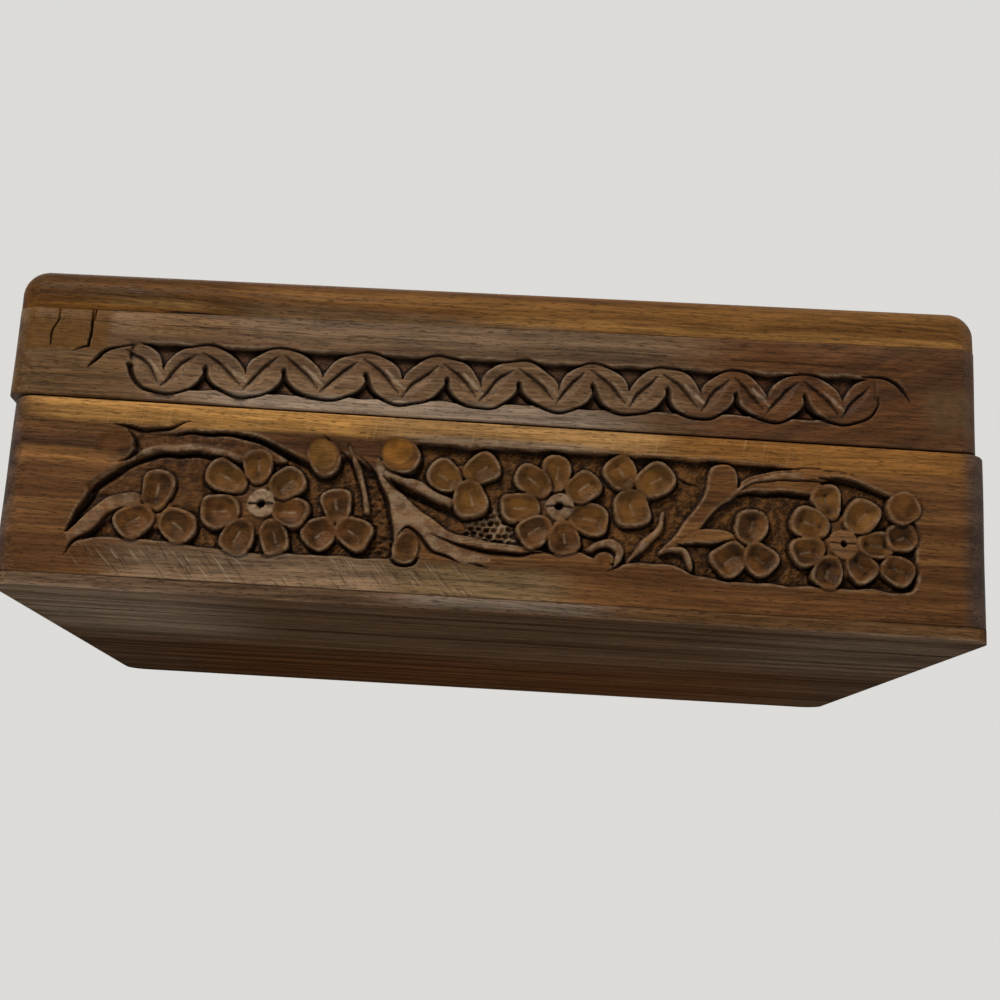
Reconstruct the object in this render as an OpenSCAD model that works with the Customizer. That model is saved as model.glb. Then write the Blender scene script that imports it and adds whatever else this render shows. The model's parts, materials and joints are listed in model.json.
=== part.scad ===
// Small hand-carved wooden keepsake box with a hinged lid, for a rosary.
// +Z is up, the front faces -Y, and the origin is the middle of the resting face.

/* [Body] */
// Length of the box from end to end
body_l = 152; // [144:1:180]
// Depth of the box from front to back, without the hinges
body_d = 108; // [90:1:130]
// Radius of the four upright corners
corner_r = 4; // [2:0.5:6]
// Gap between the closed lid and the base
seam_gap = 0.3; // [0.2:0.1:0.6]

/* [Base] */
// Height of the base up to the seam
base_h = 29.5; // [28:0.5:40]
// Thickness of the four base walls
wall_t = 7; // [6.5:0.5:10]
// Thickness of the bottom board, which is planted under the walls
bottom_t = 2.2; // [1.8:0.2:5]

/* [Lid] */
// Height of the lid rails at the middle of the length
rail_h = 15.4; // [12:0.2:22]
// Thickness of the four lid rails
rail_t = 7; // [6.5:0.5:10]
// Thickness of the lid's top board
top_t = 7; // [5:0.5:10]
// Rounding of the top board's upper edges
top_edge_r = 4.2; // [2:0.2:4.8]
// How much higher the lid's right end stands than its left end
lid_rise = 3; // [0:0.2:4]
// How far the lid sits to the left of the base
lid_offset = 1.1; // [0:0.1:1.5]

/* [Flower carving] */
// Distance from the seam down to the upper edge of the carved panel
panel_drop = 3.7; // [3:0.1:4.5]
// Height of the carved panel
panel_h = 19; // [19:0.1:20]
// Depth of the ground round the flowers
ground_depth = 1.2; // [0.8:0.1:1.6]
// Radius of a petal
petal_r = 2.2; // [1.8:0.05:2.2]
// Depth of the dish in a petal
petal_dish = 0.5; // [0.3:0.1:0.7]
// Distance from the middle of a flower to the middle of its petals
flower_r = 5.2; // [5.2:0.05:5.4]
// Radius of the boss in the middle of a flower
boss_r = 2; // [1.6:0.1:2.1]
// Radius of the hole in the boss
boss_hole_r = 0.6; // [0.4:0.1:0.8]
// Radius of a leaf of a trefoil
lobe_r = 2.5; // [2:0.1:2.5]
// Distance from the middle of a trefoil to the middle of its leaves
trefoil_r = 3.3; // [3.2:0.1:3.6]
// Radius of a bud
bud_r = 2.3; // [2:0.1:2.4]

/* [Wave carving] */
// Height of the lower edge of the wave band above the seam
band_lift = 2.8; // [2:0.1:4]
// Height of the wave band
band_h = 7.4; // [6.8:0.1:7.8]
// Depth of the wave band
band_depth = 1; // [0.6:0.1:1.4]
// Distance from one crest of the wave to the next
wave_pitch = 11.7; // [11.3:0.1:11.9]
// Radius of the wave's arches and bowls
wave_r = 6.2; // [6.1:0.1:6.5]
// Depth of the cut along a leaf of the wave
vein_depth = 0.75; // [0.4:0.05:0.9]

/* [Hinges] */
// Length of each butt hinge
hinge_l = 25; // [18:1:32]
// Distance from the end of the base to the middle of a hinge
hinge_inset = 30; // [26:1:40]
// Width of a leaf that is let into the wood
leaf_w = 6; // [5.5:0.1:6.2]
// Thickness of a leaf
leaf_t = 0.9; // [0.7:0.1:1.2]
// Outer radius of a knuckle
knuckle_r = 1.8; // [1.6:0.1:2.4]
// Radius of the hinge pin
pin_r = 0.8; // [0.6:0.1:1]
// Thickness of the riveted head on each end of the pin
pin_head_t = 0.5; // [0.3:0.1:0.8]

/* [Screws] */
// Length of a hinge screw
screw_l = 6.5; // [5:0.5:8]
// Radius of a hinge screw's shank
screw_r = 0.75; // [0.6:0.05:0.9]
// Radius of a hinge screw's countersunk head
screw_head_r = 1.5; // [1.3:0.1:1.6]
// Distance between the two screws of a leaf
screw_pitch = 16; // [12:1:16]

/* [Hidden] */
$fn = 64;
// Radial running clearance of the pin in its knuckles
pin_clearance = 0.05;
// Clearance of a screw in its leaf and its pilot hole
screw_clearance = 0.03;
// Gap between neighbouring knuckles, and between a knuckle and the wood or leaf beside it
knuckle_gap = 0.3;
// Room that every cut reaches past the faces it opens
overcut = 1;
// How far the rims of the petals lie below the face of the wall
rim_drop = 0.2;
// Width of the rim round the dish of a petal
rim_w = 0.35;
// How far an arch of the wave reaches past the edge of the band
arch_bite = 0.1;
// Number of crests of the wave, with the first at the band's left end
wave_crests = 11;
// Number of petals of a flower
flower_petals = 7;

// Places in the flower carving, from the middle of the box and the lower edge of the panel
// Flowers, as X, Z and the angle of the first petal
flowers = [[-36.5, 7.8, 43], [9, 10.2, 36], [53, 7.6, 0]];
// Trefoils, as X, Z and the angle of the first leaf
trefoils = [[-52, 5.8, 90], [-24, 5.6, 94], [-5.5, 13.4, 45], [21, 13.9, 20], [38, 5.6, 86]];
// Petals that the right edge of the panel cuts off
edge_petals = [[62.9, 8.6], [62.5, 3.2]];
// Buds on the face of the wall, as X, Z and the direction of the cut beside them
buds = [[-59.5, 15.5, -30], [-27.5, 16, -60], [-16, 17, -60], [-14, 2.6, -90], [62.3, 13.6, -45]];
// Stems that stand in the ground, as X and Z of the centre, radius, first and last angle, and width
stems = [
    [-48, -1.2, 17.4, 61, 126, 1.2], [-53.5, -4.4, 12.8, 90, 152, 2.2], [-50, 1.2, 30.6, 13, 31, 0.6],
    [-0.8, 35.3, 27.9, 234, 252, 1.2], [46, 2.2, 15.4, 92, 137, 1], [13, 13.2, 12.6, -56, -15, 0.8],
    [16.2, 2.8, 2.2, -40, 170, 1], [26.6, 1.2, 3.3, 12, 115, 0.9]
];
// Corners of the long leaf between the second flower and the right stem, and the disc at its top
leaf_points = [[24.6, 3.8], [31.7, 15.8], [34, 18.3], [36.3, 15.8], [34.2, 12.6], [29.5, 7.4]];
leaf_disc = [34, 16, 2.3];
// Cuts of a round gouge, as X and Z of the centre, radius, first and last angle, width and depth
gouge_cuts = [
    [-47, -3.5, 18.6, 72, 158, 1.6, 1.9], [-49, -11, 18.7, 122, 150, 1, 0.6],
    [1.5, 31, 28.8, 248, 280, 1, 0.8], [-5, 8.5, 8, 212, 266, 0.7, 0.5],
    [-55.5, 34.7, 16.5, 256, 296, 0.8, 0.6]
];
// Discs that shape the edges of the ground, as X, Z and radius, from the left to the right
wing_disc = [-47, -3.5, 19.5];
arch_disc = [-45.5, -13.5, 32];
tip_disc = [-38, -1.8, 24.8];
bud_hill_disc = [-33.6, 11.8, 9.2];
shoulder_disc = [-30, 4, 14];
branch_disc = [-0.8, 35.3, 28.5];
sag_disc = [4, 32.5, 29.3];
fall_disc = [32, -12, 34];
end_disc = [52, 2.5, 15];
// Left and right edges of the ground, and places between where its outline changes
ground_left = -68;
arch_left = -60;
shoulder_left = -27.5;
arch_right = -24.6;
fork_left = -17.5;
ground_middle = -13.2;
arches_left = 14;
straight_left = 30;
ground_right = 64.2;
// Height over the panel's lower edge of the ground under the two small arches
arches_z = 1.6;

wall_h = base_h - bottom_t;
lid_z = base_h + seam_gap;
joint_z = lid_z + rail_h;
tilt = atan(lid_rise / body_l);
lid_reach = joint_z + top_t + lid_rise;
// How much rounder the top board's corners are than its edges
corner_ease = 0.2;
top_corner_r = max(corner_r, top_edge_r) + corner_ease;

panel_z = base_h - panel_drop - panel_h;
band_z = lid_z + band_lift;
band_l = (wave_crests - 1) * wave_pitch;
arch_z = band_h + arch_bite - wave_r;
bowl_z = wave_r - arch_bite;
// Half length of the cut along a leaf, and how far its axis lies outside the face
vein_reach = 0.36 * wave_pitch;
vein_lift = 0.6;
// Cuts that round off the ends of the wave band, in the form of the gouge cuts
end_cuts = [
    [0, arch_z, wave_r, 100, 165, 0.8, 0.6], [wave_pitch / 2, bowl_z, wave_r + rim_w, 186, 260, 0.8, 0.6],
    [band_l, arch_z, wave_r, 15, 80, 0.8, 0.6],
    [band_l - wave_pitch / 2, bowl_z, wave_r + rim_w, 280, 350, 0.8, 0.6]
];

pin_y = body_d / 2 + knuckle_gap + knuckle_r;
pin_z = base_h + seam_gap / 2;
knuckle_l = (hinge_l - 2 * knuckle_gap) / 3;
hinge_x = body_l / 2 - hinge_inset;
pin_head_r = (pin_r + knuckle_r) / 2;
screw_y = body_d / 2 - leaf_w / 2;
screw_point_h = 2 * screw_r;
screw_head_h = screw_head_r - screw_r;
slot_w = screw_head_r / 4;

// Outline of the box seen from above, with its round corners
module plan_outline() {
    for (s = [-1, 1], t = [-1, 1])
        translate([s * (body_l / 2 - corner_r), t * (body_d / 2 - corner_r)])
            circle(corner_r);
    square([body_l, body_d - 2 * corner_r], center = true);
    square([body_l - 2 * corner_r, body_d], center = true);
}

module plan_block(low, high) {
    translate([0, 0, low])
        linear_extrude(high - low)
            plan_outline();
}

// A long board at the front (side = -1) or the back (side = 1), full length
module long_board(side, low, high, t) {
    intersection() {
        plan_block(low, high);
        translate([-body_l, side > 0 ? body_d / 2 - t : -body_d / 2 - overcut, low - overcut])
            cube([2 * body_l, t + overcut, high - low + 2 * overcut]);
    }
}

// A short board at the left (side = -1) or the right (side = 1), between the long boards
module end_board(side, low, high, t) {
    translate([side > 0 ? body_l / 2 - t : -body_l / 2, t - body_d / 2, low])
        cube([t, body_d - 2 * t, high - low]);
}

// Places its children on the front of the base, with Z of the children pointing out of the wood
module on_base_front() {
    translate([0, -body_d / 2, panel_z])
        rotate([90, 0, 0])
            children();
}

// Places its children on the front of the lid, along the slanting wave band
module on_lid_front() {
    translate([0, -body_d / 2, band_z])
        rotate([90, 0, 0])
            rotate(tilt)
                children();
}

// Pocket of a plane shape, cut into the face to a depth
module pocket(depth) {
    translate([0, 0, -depth])
        linear_extrude(depth + overcut)
            children();
}

// Hollow like a shallow dish, with its rim at a drop below the face
module dish(r, depth, drop) {
    ball_r = (r * r + depth * depth) / (2 * depth);
    translate([0, 0, ball_r - depth - drop])
        sphere(ball_r);
}

// Round place of every petal: those of the flowers and those at the edge
module at_petals() {
    for (f = flowers, k = [0:flower_petals - 1])
        translate([f[0], f[1]])
            rotate(f[2] + k * 360 / flower_petals)
                translate([flower_r, 0])
                    children();
    for (p = edge_petals)
        translate([p[0], p[1]])
            children();
}

// Round place of every leaf of the trefoils
module at_lobes() {
    for (t = trefoils, k = [0:2])
        translate([t[0], t[1]])
            rotate(t[2] + k * 120)
                translate([trefoil_r, 0])
                    children();
}

// Arc of a ring of a width
module stem(s) {
    step = (s[4] - s[3]) / 4;
    reach = 2 * (s[2] + s[5]);
    translate([s[0], s[1]])
        intersection() {
            difference() {
                circle(s[2] + s[5] / 2);
                circle(s[2] - s[5] / 2);
            }
            polygon(concat([[0, 0]], [for (k = [0:4]) reach * [cos(s[3] + k * step), sin(s[3] + k * step)]]));
        }
}

// Groove of a round gouge along an arc
module gouge_cut(c) {
    translate([c[0], c[1], c[5] / 2 - c[6]])
        rotate(c[3])
            rotate_extrude(angle = c[4] - c[3])
                translate([c[2], 0])
                    circle(c[5] / 2);
}

// Disc of the ground's outline
module disc(d) {
    translate([d[0], d[1]])
        circle(d[2]);
}

// Strip of the panel from one X to another, down to a height over its lower edge
module strip(from, to, low = 0) {
    translate([from, low])
        square([to - from, panel_h - low]);
}

// Ground of the carving to the left of the tall leaf
module left_ground() {
    intersection() {
        strip(ground_left, 0);
        union() {
            disc(wing_disc);
            intersection() {
                disc(arch_disc);
                disc(tip_disc);
                strip(arch_left, arch_right);
            }
            difference() {
                intersection() {
                    disc(shoulder_disc);
                    strip(shoulder_left, 0);
                }
                disc(bud_hill_disc);
            }
        }
    }
}

// Ground of the carving to the right of the tall leaf
module right_ground() {
    difference() {
        intersection() {
            union() {
                strip(ground_middle, ground_right);
                difference() {
                    strip(fork_left, ground_middle + rim_w);
                    disc(branch_disc);
                }
            }
            union() {
                disc(sag_disc);
                strip(arches_left, ground_right, arches_z);
                strip(straight_left, ground_right);
            }
            union() {
                strip(fork_left, straight_left);
                disc(fall_disc);
                disc(end_disc);
            }
        }
        translate([buds[2][0], buds[2][1]])
            circle(bud_r + 2 * rim_w);
    }
}

// Petal of a radius, drawn out to a blunt point at a reach on its left
module petal(r, reach) {
    circle(r);
    polygon([[-reach, 0], [-0.2 * r, 0.85 * r], [-0.2 * r, -0.85 * r]]);
}

// All petals, pointing to the middles of their flowers, the last ones cut off by the ground's right edge
module petals() {
    intersection() {
        at_petals()
            petal(petal_r, flower_r - boss_r - rim_w);
        strip(ground_left, ground_right);
    }
}

// All leaves of the trefoils, joined in their middles
module lobes() {
    at_lobes()
        petal(lobe_r, trefoil_r + rim_w);
}

// All that stands in the ground
module standing() {
    petals();
    lobes();
    for (f = flowers)
        translate([f[0], f[1]])
            circle(boss_r);
    for (b = buds)
        translate([b[0], b[1]])
            circle(bud_r);
    for (s = stems)
        stem(s);
    disc(leaf_disc);
    polygon(leaf_points);
}

// Bud with its dish, and the cut beside it
module bud_cut(b) {
    translate([b[0], b[1]]) {
        dish(bud_r - rim_w, petal_dish, rim_drop);
        pocket(ground_depth / 2)
            difference() {
                rotate(b[2])
                    translate([3 * rim_w, 0])
                        circle(bud_r);
                circle(bud_r);
            }
    }
}

// The flower carving as the wood that is cut away
module flower_carving() {
    pocket(ground_depth)
        difference() {
            union() {
                left_ground();
                right_ground();
            }
            standing();
        }
    pocket(rim_drop) {
        petals();
        lobes();
    }
    intersection() {
        at_petals()
            dish(petal_r - rim_w, petal_dish, rim_drop);
        translate([ground_left, 0, -wall_t])
            cube([ground_right - ground_left, panel_h, 2 * wall_t]);
    }
    at_lobes()
        dish(lobe_r - rim_w, petal_dish, rim_drop);
    for (f = flowers)
        translate([f[0], f[1]])
            pocket(2 * ground_depth)
                circle(boss_hole_r);
    for (b = buds)
        bud_cut(b);
    for (c = gouge_cuts)
        gouge_cut(c);
}

// Outline of the wave: arches above, bowls below
module wave() {
    intersection() {
        union() {
            for (k = [0:wave_crests - 1])
                translate([k * wave_pitch, arch_z])
                    circle(wave_r);
            translate([-wave_pitch, -overcut])
                square([band_l + 2 * wave_pitch, band_h / 2 - arch_bite + overcut]);
        }
        union() {
            for (k = [0:wave_crests - 2])
                translate([(k + 0.5) * wave_pitch, bowl_z])
                    circle(wave_r);
            translate([-wave_pitch, band_h / 2 + arch_bite])
                square([band_l + 2 * wave_pitch, band_h / 2 + overcut]);
        }
    }
}

// Cut along a leaf of the wave, widest and deepest in its middle
module vein() {
    for (s = [0, 1])
        mirror([s, 0, 0])
            translate([-vein_reach, 0, vein_lift])
                rotate([0, 90, 0])
                    cylinder(h = vein_reach, r1 = vein_lift / 2, r2 = vein_lift + vein_depth);
}

// The wave band as the wood that is cut away
module wave_carving() {
    translate([-band_l / 2, 0]) {
        pocket(band_depth)
            difference() {
                square([band_l, band_h]);
                wave();
                translate([-overcut, -overcut])
                    square([wave_pitch / 2 + overcut, band_h / 2 + overcut]);
                translate([band_l - wave_pitch / 2, -overcut])
                    square([wave_pitch / 2 + overcut, band_h / 2 + overcut]);
            }
        for (k = [0:2 * (wave_crests - 1) - 1])
            translate([(k + 0.5) * wave_pitch / 2, band_h / 2])
                rotate(k % 2 == 0 ? -45 : 45)
                    vein();
        for (c = end_cuts)
            gouge_cut(c);
    }
}

// Everything above the slanting joint between the rails and the top board
module above_joint() {
    translate([0, 0, joint_z])
        rotate([0, -tilt, 0])
            translate([-body_l, -body_d, 0])
                cube([2 * body_l, 2 * body_d, lid_reach]);
}

// Half section of the top board, w wide, square below and rounded at its upper outer edge
module edge_section(w) {
    square([w, top_t - top_edge_r]);
    square([w - top_edge_r, top_t]);
    intersection() {
        square([w, top_t]);
        translate([w - top_edge_r, top_t - top_edge_r])
            circle(top_edge_r);
    }
}

// The top board as a block whose rounded upper edge runs on round its four corners
module top_board(l, d) {
    for (s = [0, 1]) {
        mirror([0, s, 0])
            translate([top_corner_r - l / 2, 0, 0])
                rotate([90, 0, 90])
                    linear_extrude(l - 2 * top_corner_r)
                        edge_section(d / 2);
        mirror([s, 0, 0])
            translate([0, d / 2 - top_corner_r, 0])
                rotate([90, 0, 0])
                    linear_extrude(d - 2 * top_corner_r)
                        edge_section(l / 2);
        for (t = [0, 1])
            mirror([s, 0, 0])
                mirror([0, t, 0])
                    translate([l / 2 - top_corner_r, d / 2 - top_corner_r, 0])
                        rotate_extrude(angle = 90)
                            edge_section(top_corner_r);
    }
}

// Places its children at both hinges, as each hinge's middle on the pin's axis
module at_hinge(side) {
    translate([side * hinge_x, pin_y, pin_z])
        children();
}

// The two screw places of one leaf, at the height of the leaf's open face
module at_leaf_screws(side, z) {
    for (s = [-1, 1])
        translate([side * hinge_x + s * screw_pitch / 2, screw_y, z])
            children();
}

// Countersunk screw pointing down, its head flush with the plane z = 0
module screw(extra = 0) {
    translate([0, 0, -screw_head_h])
        cylinder(h = screw_head_h, r1 = screw_r + extra, r2 = screw_head_r + extra);
    translate([0, 0, -screw_l + screw_point_h])
        cylinder(h = screw_l - screw_point_h - screw_head_h, r = screw_r + extra);
    translate([0, 0, -screw_l])
        cylinder(h = screw_point_h, r1 = (screw_r + extra) / 4, r2 = screw_r + extra);
}

module slotted_screw() {
    difference() {
        screw();
        translate([-screw_head_r - overcut, -slot_w / 2, -slot_w])
            cube([2 * (screw_head_r + overcut), slot_w, slot_w + overcut]);
    }
}

// Recess for one leaf, cut from the face z towards up = 1 or down = -1
module leaf_recess(side, z, up) {
    translate([side * hinge_x - hinge_l / 2, body_d / 2 - leaf_w, up > 0 ? z - overcut : z - leaf_t])
        cube([hinge_l, leaf_w + overcut, leaf_t + overcut]);
}

// Knuckle that covers the hinge's length from low to high, along X
module knuckle(low, high) {
    translate([low, 0, 0])
        rotate([0, 90, 0])
            cylinder(h = high - low, r = knuckle_r);
}

module pin_bore() {
    translate([-hinge_l / 2 - overcut, 0, 0])
        rotate([0, 90, 0])
            cylinder(h = hinge_l + 2 * overcut, r = pin_r + pin_clearance);
}

// Leaf plate below the pin's plane, from x = low to x = high and up to y = reach
module leaf_plate(low, high, reach) {
    translate([low, body_d / 2 - leaf_w - pin_y, -seam_gap / 2 - leaf_t])
        cube([high - low, leaf_w + reach, leaf_t]);
}

// Leaf of the base, with the two outer knuckles
module base_leaf(side) {
    difference() {
        at_hinge(side)
            difference() {
                union() {
                    leaf_plate(-hinge_l / 2, hinge_l / 2, 0);
                    for (s = [0, 1])
                        mirror([s, 0, 0]) {
                            knuckle(-hinge_l / 2, -hinge_l / 2 + knuckle_l);
                            leaf_plate(-hinge_l / 2, -hinge_l / 2 + knuckle_l, pin_y - body_d / 2);
                        }
                }
                pin_bore();
            }
        at_leaf_screws(side, base_h)
            screw(screw_clearance);
    }
}

// Leaf of the lid, with the middle knuckle
module lid_leaf(side) {
    difference() {
        at_hinge(side)
            mirror([0, 0, 1])
                difference() {
                    union() {
                        leaf_plate(-hinge_l / 2, hinge_l / 2, 0);
                        knuckle(-knuckle_l / 2, knuckle_l / 2);
                        leaf_plate(-knuckle_l / 2, knuckle_l / 2, pin_y - body_d / 2);
                    }
                    pin_bore();
                }
        at_leaf_screws(side, lid_z)
            mirror([0, 0, 1])
                screw(screw_clearance);
    }
}

// Pin with a riveted head on each end
module hinge_pin(side) {
    at_hinge(side)
        rotate([0, 90, 0]) {
            cylinder(h = hinge_l + 2 * pin_clearance, r = pin_r, center = true);
            for (s = [0, 1])
                mirror([0, 0, s])
                    translate([0, 0, hinge_l / 2 + pin_clearance])
                        cylinder(h = pin_head_t, r1 = pin_head_r, r2 = pin_r);
        }
}

module base_front_wall() {
    color("#6b4a2e")
        difference() {
            long_board(-1, bottom_t, base_h, wall_t);
            on_base_front()
                flower_carving();
        }
}

module base_back_wall() {
    color("#65452b")
        difference() {
            long_board(1, bottom_t, base_h, wall_t);
            for (side = [-1, 1]) {
                leaf_recess(side, base_h, -1);
                at_leaf_screws(side, base_h)
                    screw(screw_clearance);
            }
        }
}

module base_end(side) {
    color("#5f4029")
        end_board(side, bottom_t, base_h, wall_t);
}

module base_bottom_panel() {
    color("#4a3a2c")
        plan_block(0, bottom_t);
}

module lid_top_panel() {
    color("#7a4f24")
        translate([-lid_offset, 0, 0])
            intersection() {
                translate([-body_l / 2, -body_d, lid_z])
                    cube([body_l, 2 * body_d, lid_reach]);
                translate([0, 0, joint_z])
                    rotate([0, -tilt, 0])
                        top_board(body_l / cos(tilt), body_d);
            }
}

module lid_long_rail(side) {
    translate([-lid_offset, 0, 0])
        difference() {
            long_board(side, lid_z, lid_reach, rail_t);
            above_joint();
        }
}

module lid_front_rail() {
    color("#5d4836")
        difference() {
            lid_long_rail(-1);
            on_lid_front()
                wave_carving();
        }
}

module lid_back_rail() {
    color("#5d4836")
        difference() {
            lid_long_rail(1);
            for (side = [-1, 1]) {
                leaf_recess(side, lid_z, 1);
                at_leaf_screws(side, lid_z)
                    mirror([0, 0, 1])
                        screw(screw_clearance);
            }
        }
}

module lid_end_rail(side) {
    color("#574231")
        translate([-lid_offset, 0, 0])
            difference() {
                end_board(side, lid_z, lid_reach, rail_t);
                above_joint();
            }
}

module base_hinge_screws() {
    color("#b08d4a")
        for (side = [-1, 1])
            at_leaf_screws(side, base_h)
                slotted_screw();
}

module lid_hinge_screws() {
    color("#b08d4a")
        for (side = [-1, 1])
            at_leaf_screws(side, lid_z)
                mirror([0, 0, 1])
                    slotted_screw();
}

module left_hinge_base_leaf() { color("#c09a52") base_leaf(-1); }
module left_hinge_lid_leaf() { color("#c8a25a") lid_leaf(-1); }
module left_hinge_pin() { color("#a98748") hinge_pin(-1); }
module right_hinge_base_leaf() { color("#c09a52") base_leaf(1); }
module right_hinge_lid_leaf() { color("#c8a25a") lid_leaf(1); }
module right_hinge_pin() { color("#a98748") hinge_pin(1); }

base_front_wall();
base_back_wall();
base_end(-1);  // base_left_end
base_end(1);  // base_right_end
base_bottom_panel();
lid_top_panel();
lid_front_rail();
lid_back_rail();
lid_end_rail(-1);  // lid_left_rail
lid_end_rail(1);  // lid_right_rail
left_hinge_base_leaf();
left_hinge_lid_leaf();
left_hinge_pin();
right_hinge_base_leaf();
right_hinge_lid_leaf();
right_hinge_pin();
base_hinge_screws();
lid_hinge_screws();
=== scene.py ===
"""Dresses the hand-carved rosary box: its boards, its carving, its brass hinges and the studio.

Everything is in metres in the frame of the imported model: the origin is the middle of the
resting face, +Z is up and the front faces -Y. The carving alone is laid out in millimetres,
X from the middle of the box and Z from the resting face, as a carver would mark it out.
"""

import json
import logging
import math
from dataclasses import dataclass, replace
from enum import Enum
from typing import Sequence

import bpy
import numpy as np
from mathutils import Matrix, Vector

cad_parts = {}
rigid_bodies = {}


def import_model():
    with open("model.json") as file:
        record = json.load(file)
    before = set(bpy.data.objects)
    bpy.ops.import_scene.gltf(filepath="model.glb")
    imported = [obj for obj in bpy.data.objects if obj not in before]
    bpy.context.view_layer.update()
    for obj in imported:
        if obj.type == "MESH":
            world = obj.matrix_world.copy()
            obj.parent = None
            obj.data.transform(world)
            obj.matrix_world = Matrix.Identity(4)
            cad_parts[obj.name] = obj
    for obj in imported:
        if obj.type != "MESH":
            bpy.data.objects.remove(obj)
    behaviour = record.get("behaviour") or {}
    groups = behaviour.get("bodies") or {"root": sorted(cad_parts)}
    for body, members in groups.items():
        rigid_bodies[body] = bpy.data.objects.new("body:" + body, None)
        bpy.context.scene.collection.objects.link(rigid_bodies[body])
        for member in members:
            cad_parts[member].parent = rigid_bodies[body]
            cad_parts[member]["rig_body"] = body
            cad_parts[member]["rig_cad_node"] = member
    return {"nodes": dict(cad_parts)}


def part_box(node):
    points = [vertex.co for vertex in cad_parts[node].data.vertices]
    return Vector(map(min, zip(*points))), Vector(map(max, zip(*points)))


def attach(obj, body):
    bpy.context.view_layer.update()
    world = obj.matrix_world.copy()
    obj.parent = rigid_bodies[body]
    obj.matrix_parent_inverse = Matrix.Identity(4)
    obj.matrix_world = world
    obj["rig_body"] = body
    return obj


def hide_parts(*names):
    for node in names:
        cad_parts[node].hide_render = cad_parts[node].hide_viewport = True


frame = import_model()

LOG = logging.getLogger("rosary_box")
MM = 0.001

Point = tuple[float, float]
Colour = tuple[float, float, float]
Place = tuple[float, float, float]
Window = tuple[slice, slice]
Socket = bpy.types.NodeSocket

# The masks painted over the wood: matted ground, painted shade, pale wear with painted highlight, and the
# honey colour of the dishes.
MASKS = ("ground", "painted_shade", "rim", "dish")


class Body(Enum):
    """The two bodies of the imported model."""

    BASE = "base"
    LID = "lid"


class GrainAxis(Enum):
    """The direction in which a board's grain runs."""

    ALONG_X = "x"
    ALONG_Y = "y"


def smooth(value: np.ndarray) -> np.ndarray:
    """Turns 0 to 1 into a soft step.

    Args:
        value: Any numbers; those outside 0 to 1 are held at the ends.

    Returns:
        The same numbers eased at both ends.
    """
    held = np.clip(value, 0.0, 1.0)
    return held * held * (3.0 - 2.0 * held)


def hump(value: np.ndarray, middle: float, spread: float) -> np.ndarray:
    """Gives 1 where a value is at the middle, and falls to 0 like a bell on both sides.

    Args:
        value: Any numbers.
        middle: Where the bell stands.
        spread: How far from the middle it has fallen to about a third.

    Returns:
        The height of the bell at each number.
    """
    return np.exp(-(((value - middle) / spread) ** 2))


def round_arch(x: np.ndarray, left: float, right: float) -> np.ndarray:
    """Gives the height of a half round of height 1 that stands between two ends."""
    off = (x - (left + right) / 2) / ((right - left) / 2)
    return np.sqrt(np.clip(1 - off**2, 0, None))


def shade(colour: Colour, factor: float) -> Colour:
    """Makes a colour darker or brighter by a factor."""
    return tuple(min(1.0, factor * part) for part in colour)


def flowing_line(points: Sequence[Point], step: float = 0.25) -> np.ndarray:
    """Draws a smooth line through points, as a carver's pencil would.

    Args:
        points: The points that the line passes through, in millimetres.
        step: The rough distance between the points that come back.

    Returns:
        The points of the line, one in each row.
    """
    given = np.array(points, float)
    padded = np.vstack([2 * given[0] - given[1], given, 2 * given[-1] - given[-2]])
    drawn = []
    for before, start, end, after in zip(padded, padded[1:], padded[2:], padded[3:]):
        count = max(2, int(np.linalg.norm(end - start) / step))
        for share in np.arange(count) / count:
            square, cube = share**2, share**3
            drawn.append(
                0.5
                * (
                    2 * start
                    + (end - before) * share
                    + (2 * before - 5 * start + 4 * end - after) * square
                    + (3 * start - before - 3 * end + after) * cube
                )
            )
    drawn.append(given[-1])
    return np.array(drawn)


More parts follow.
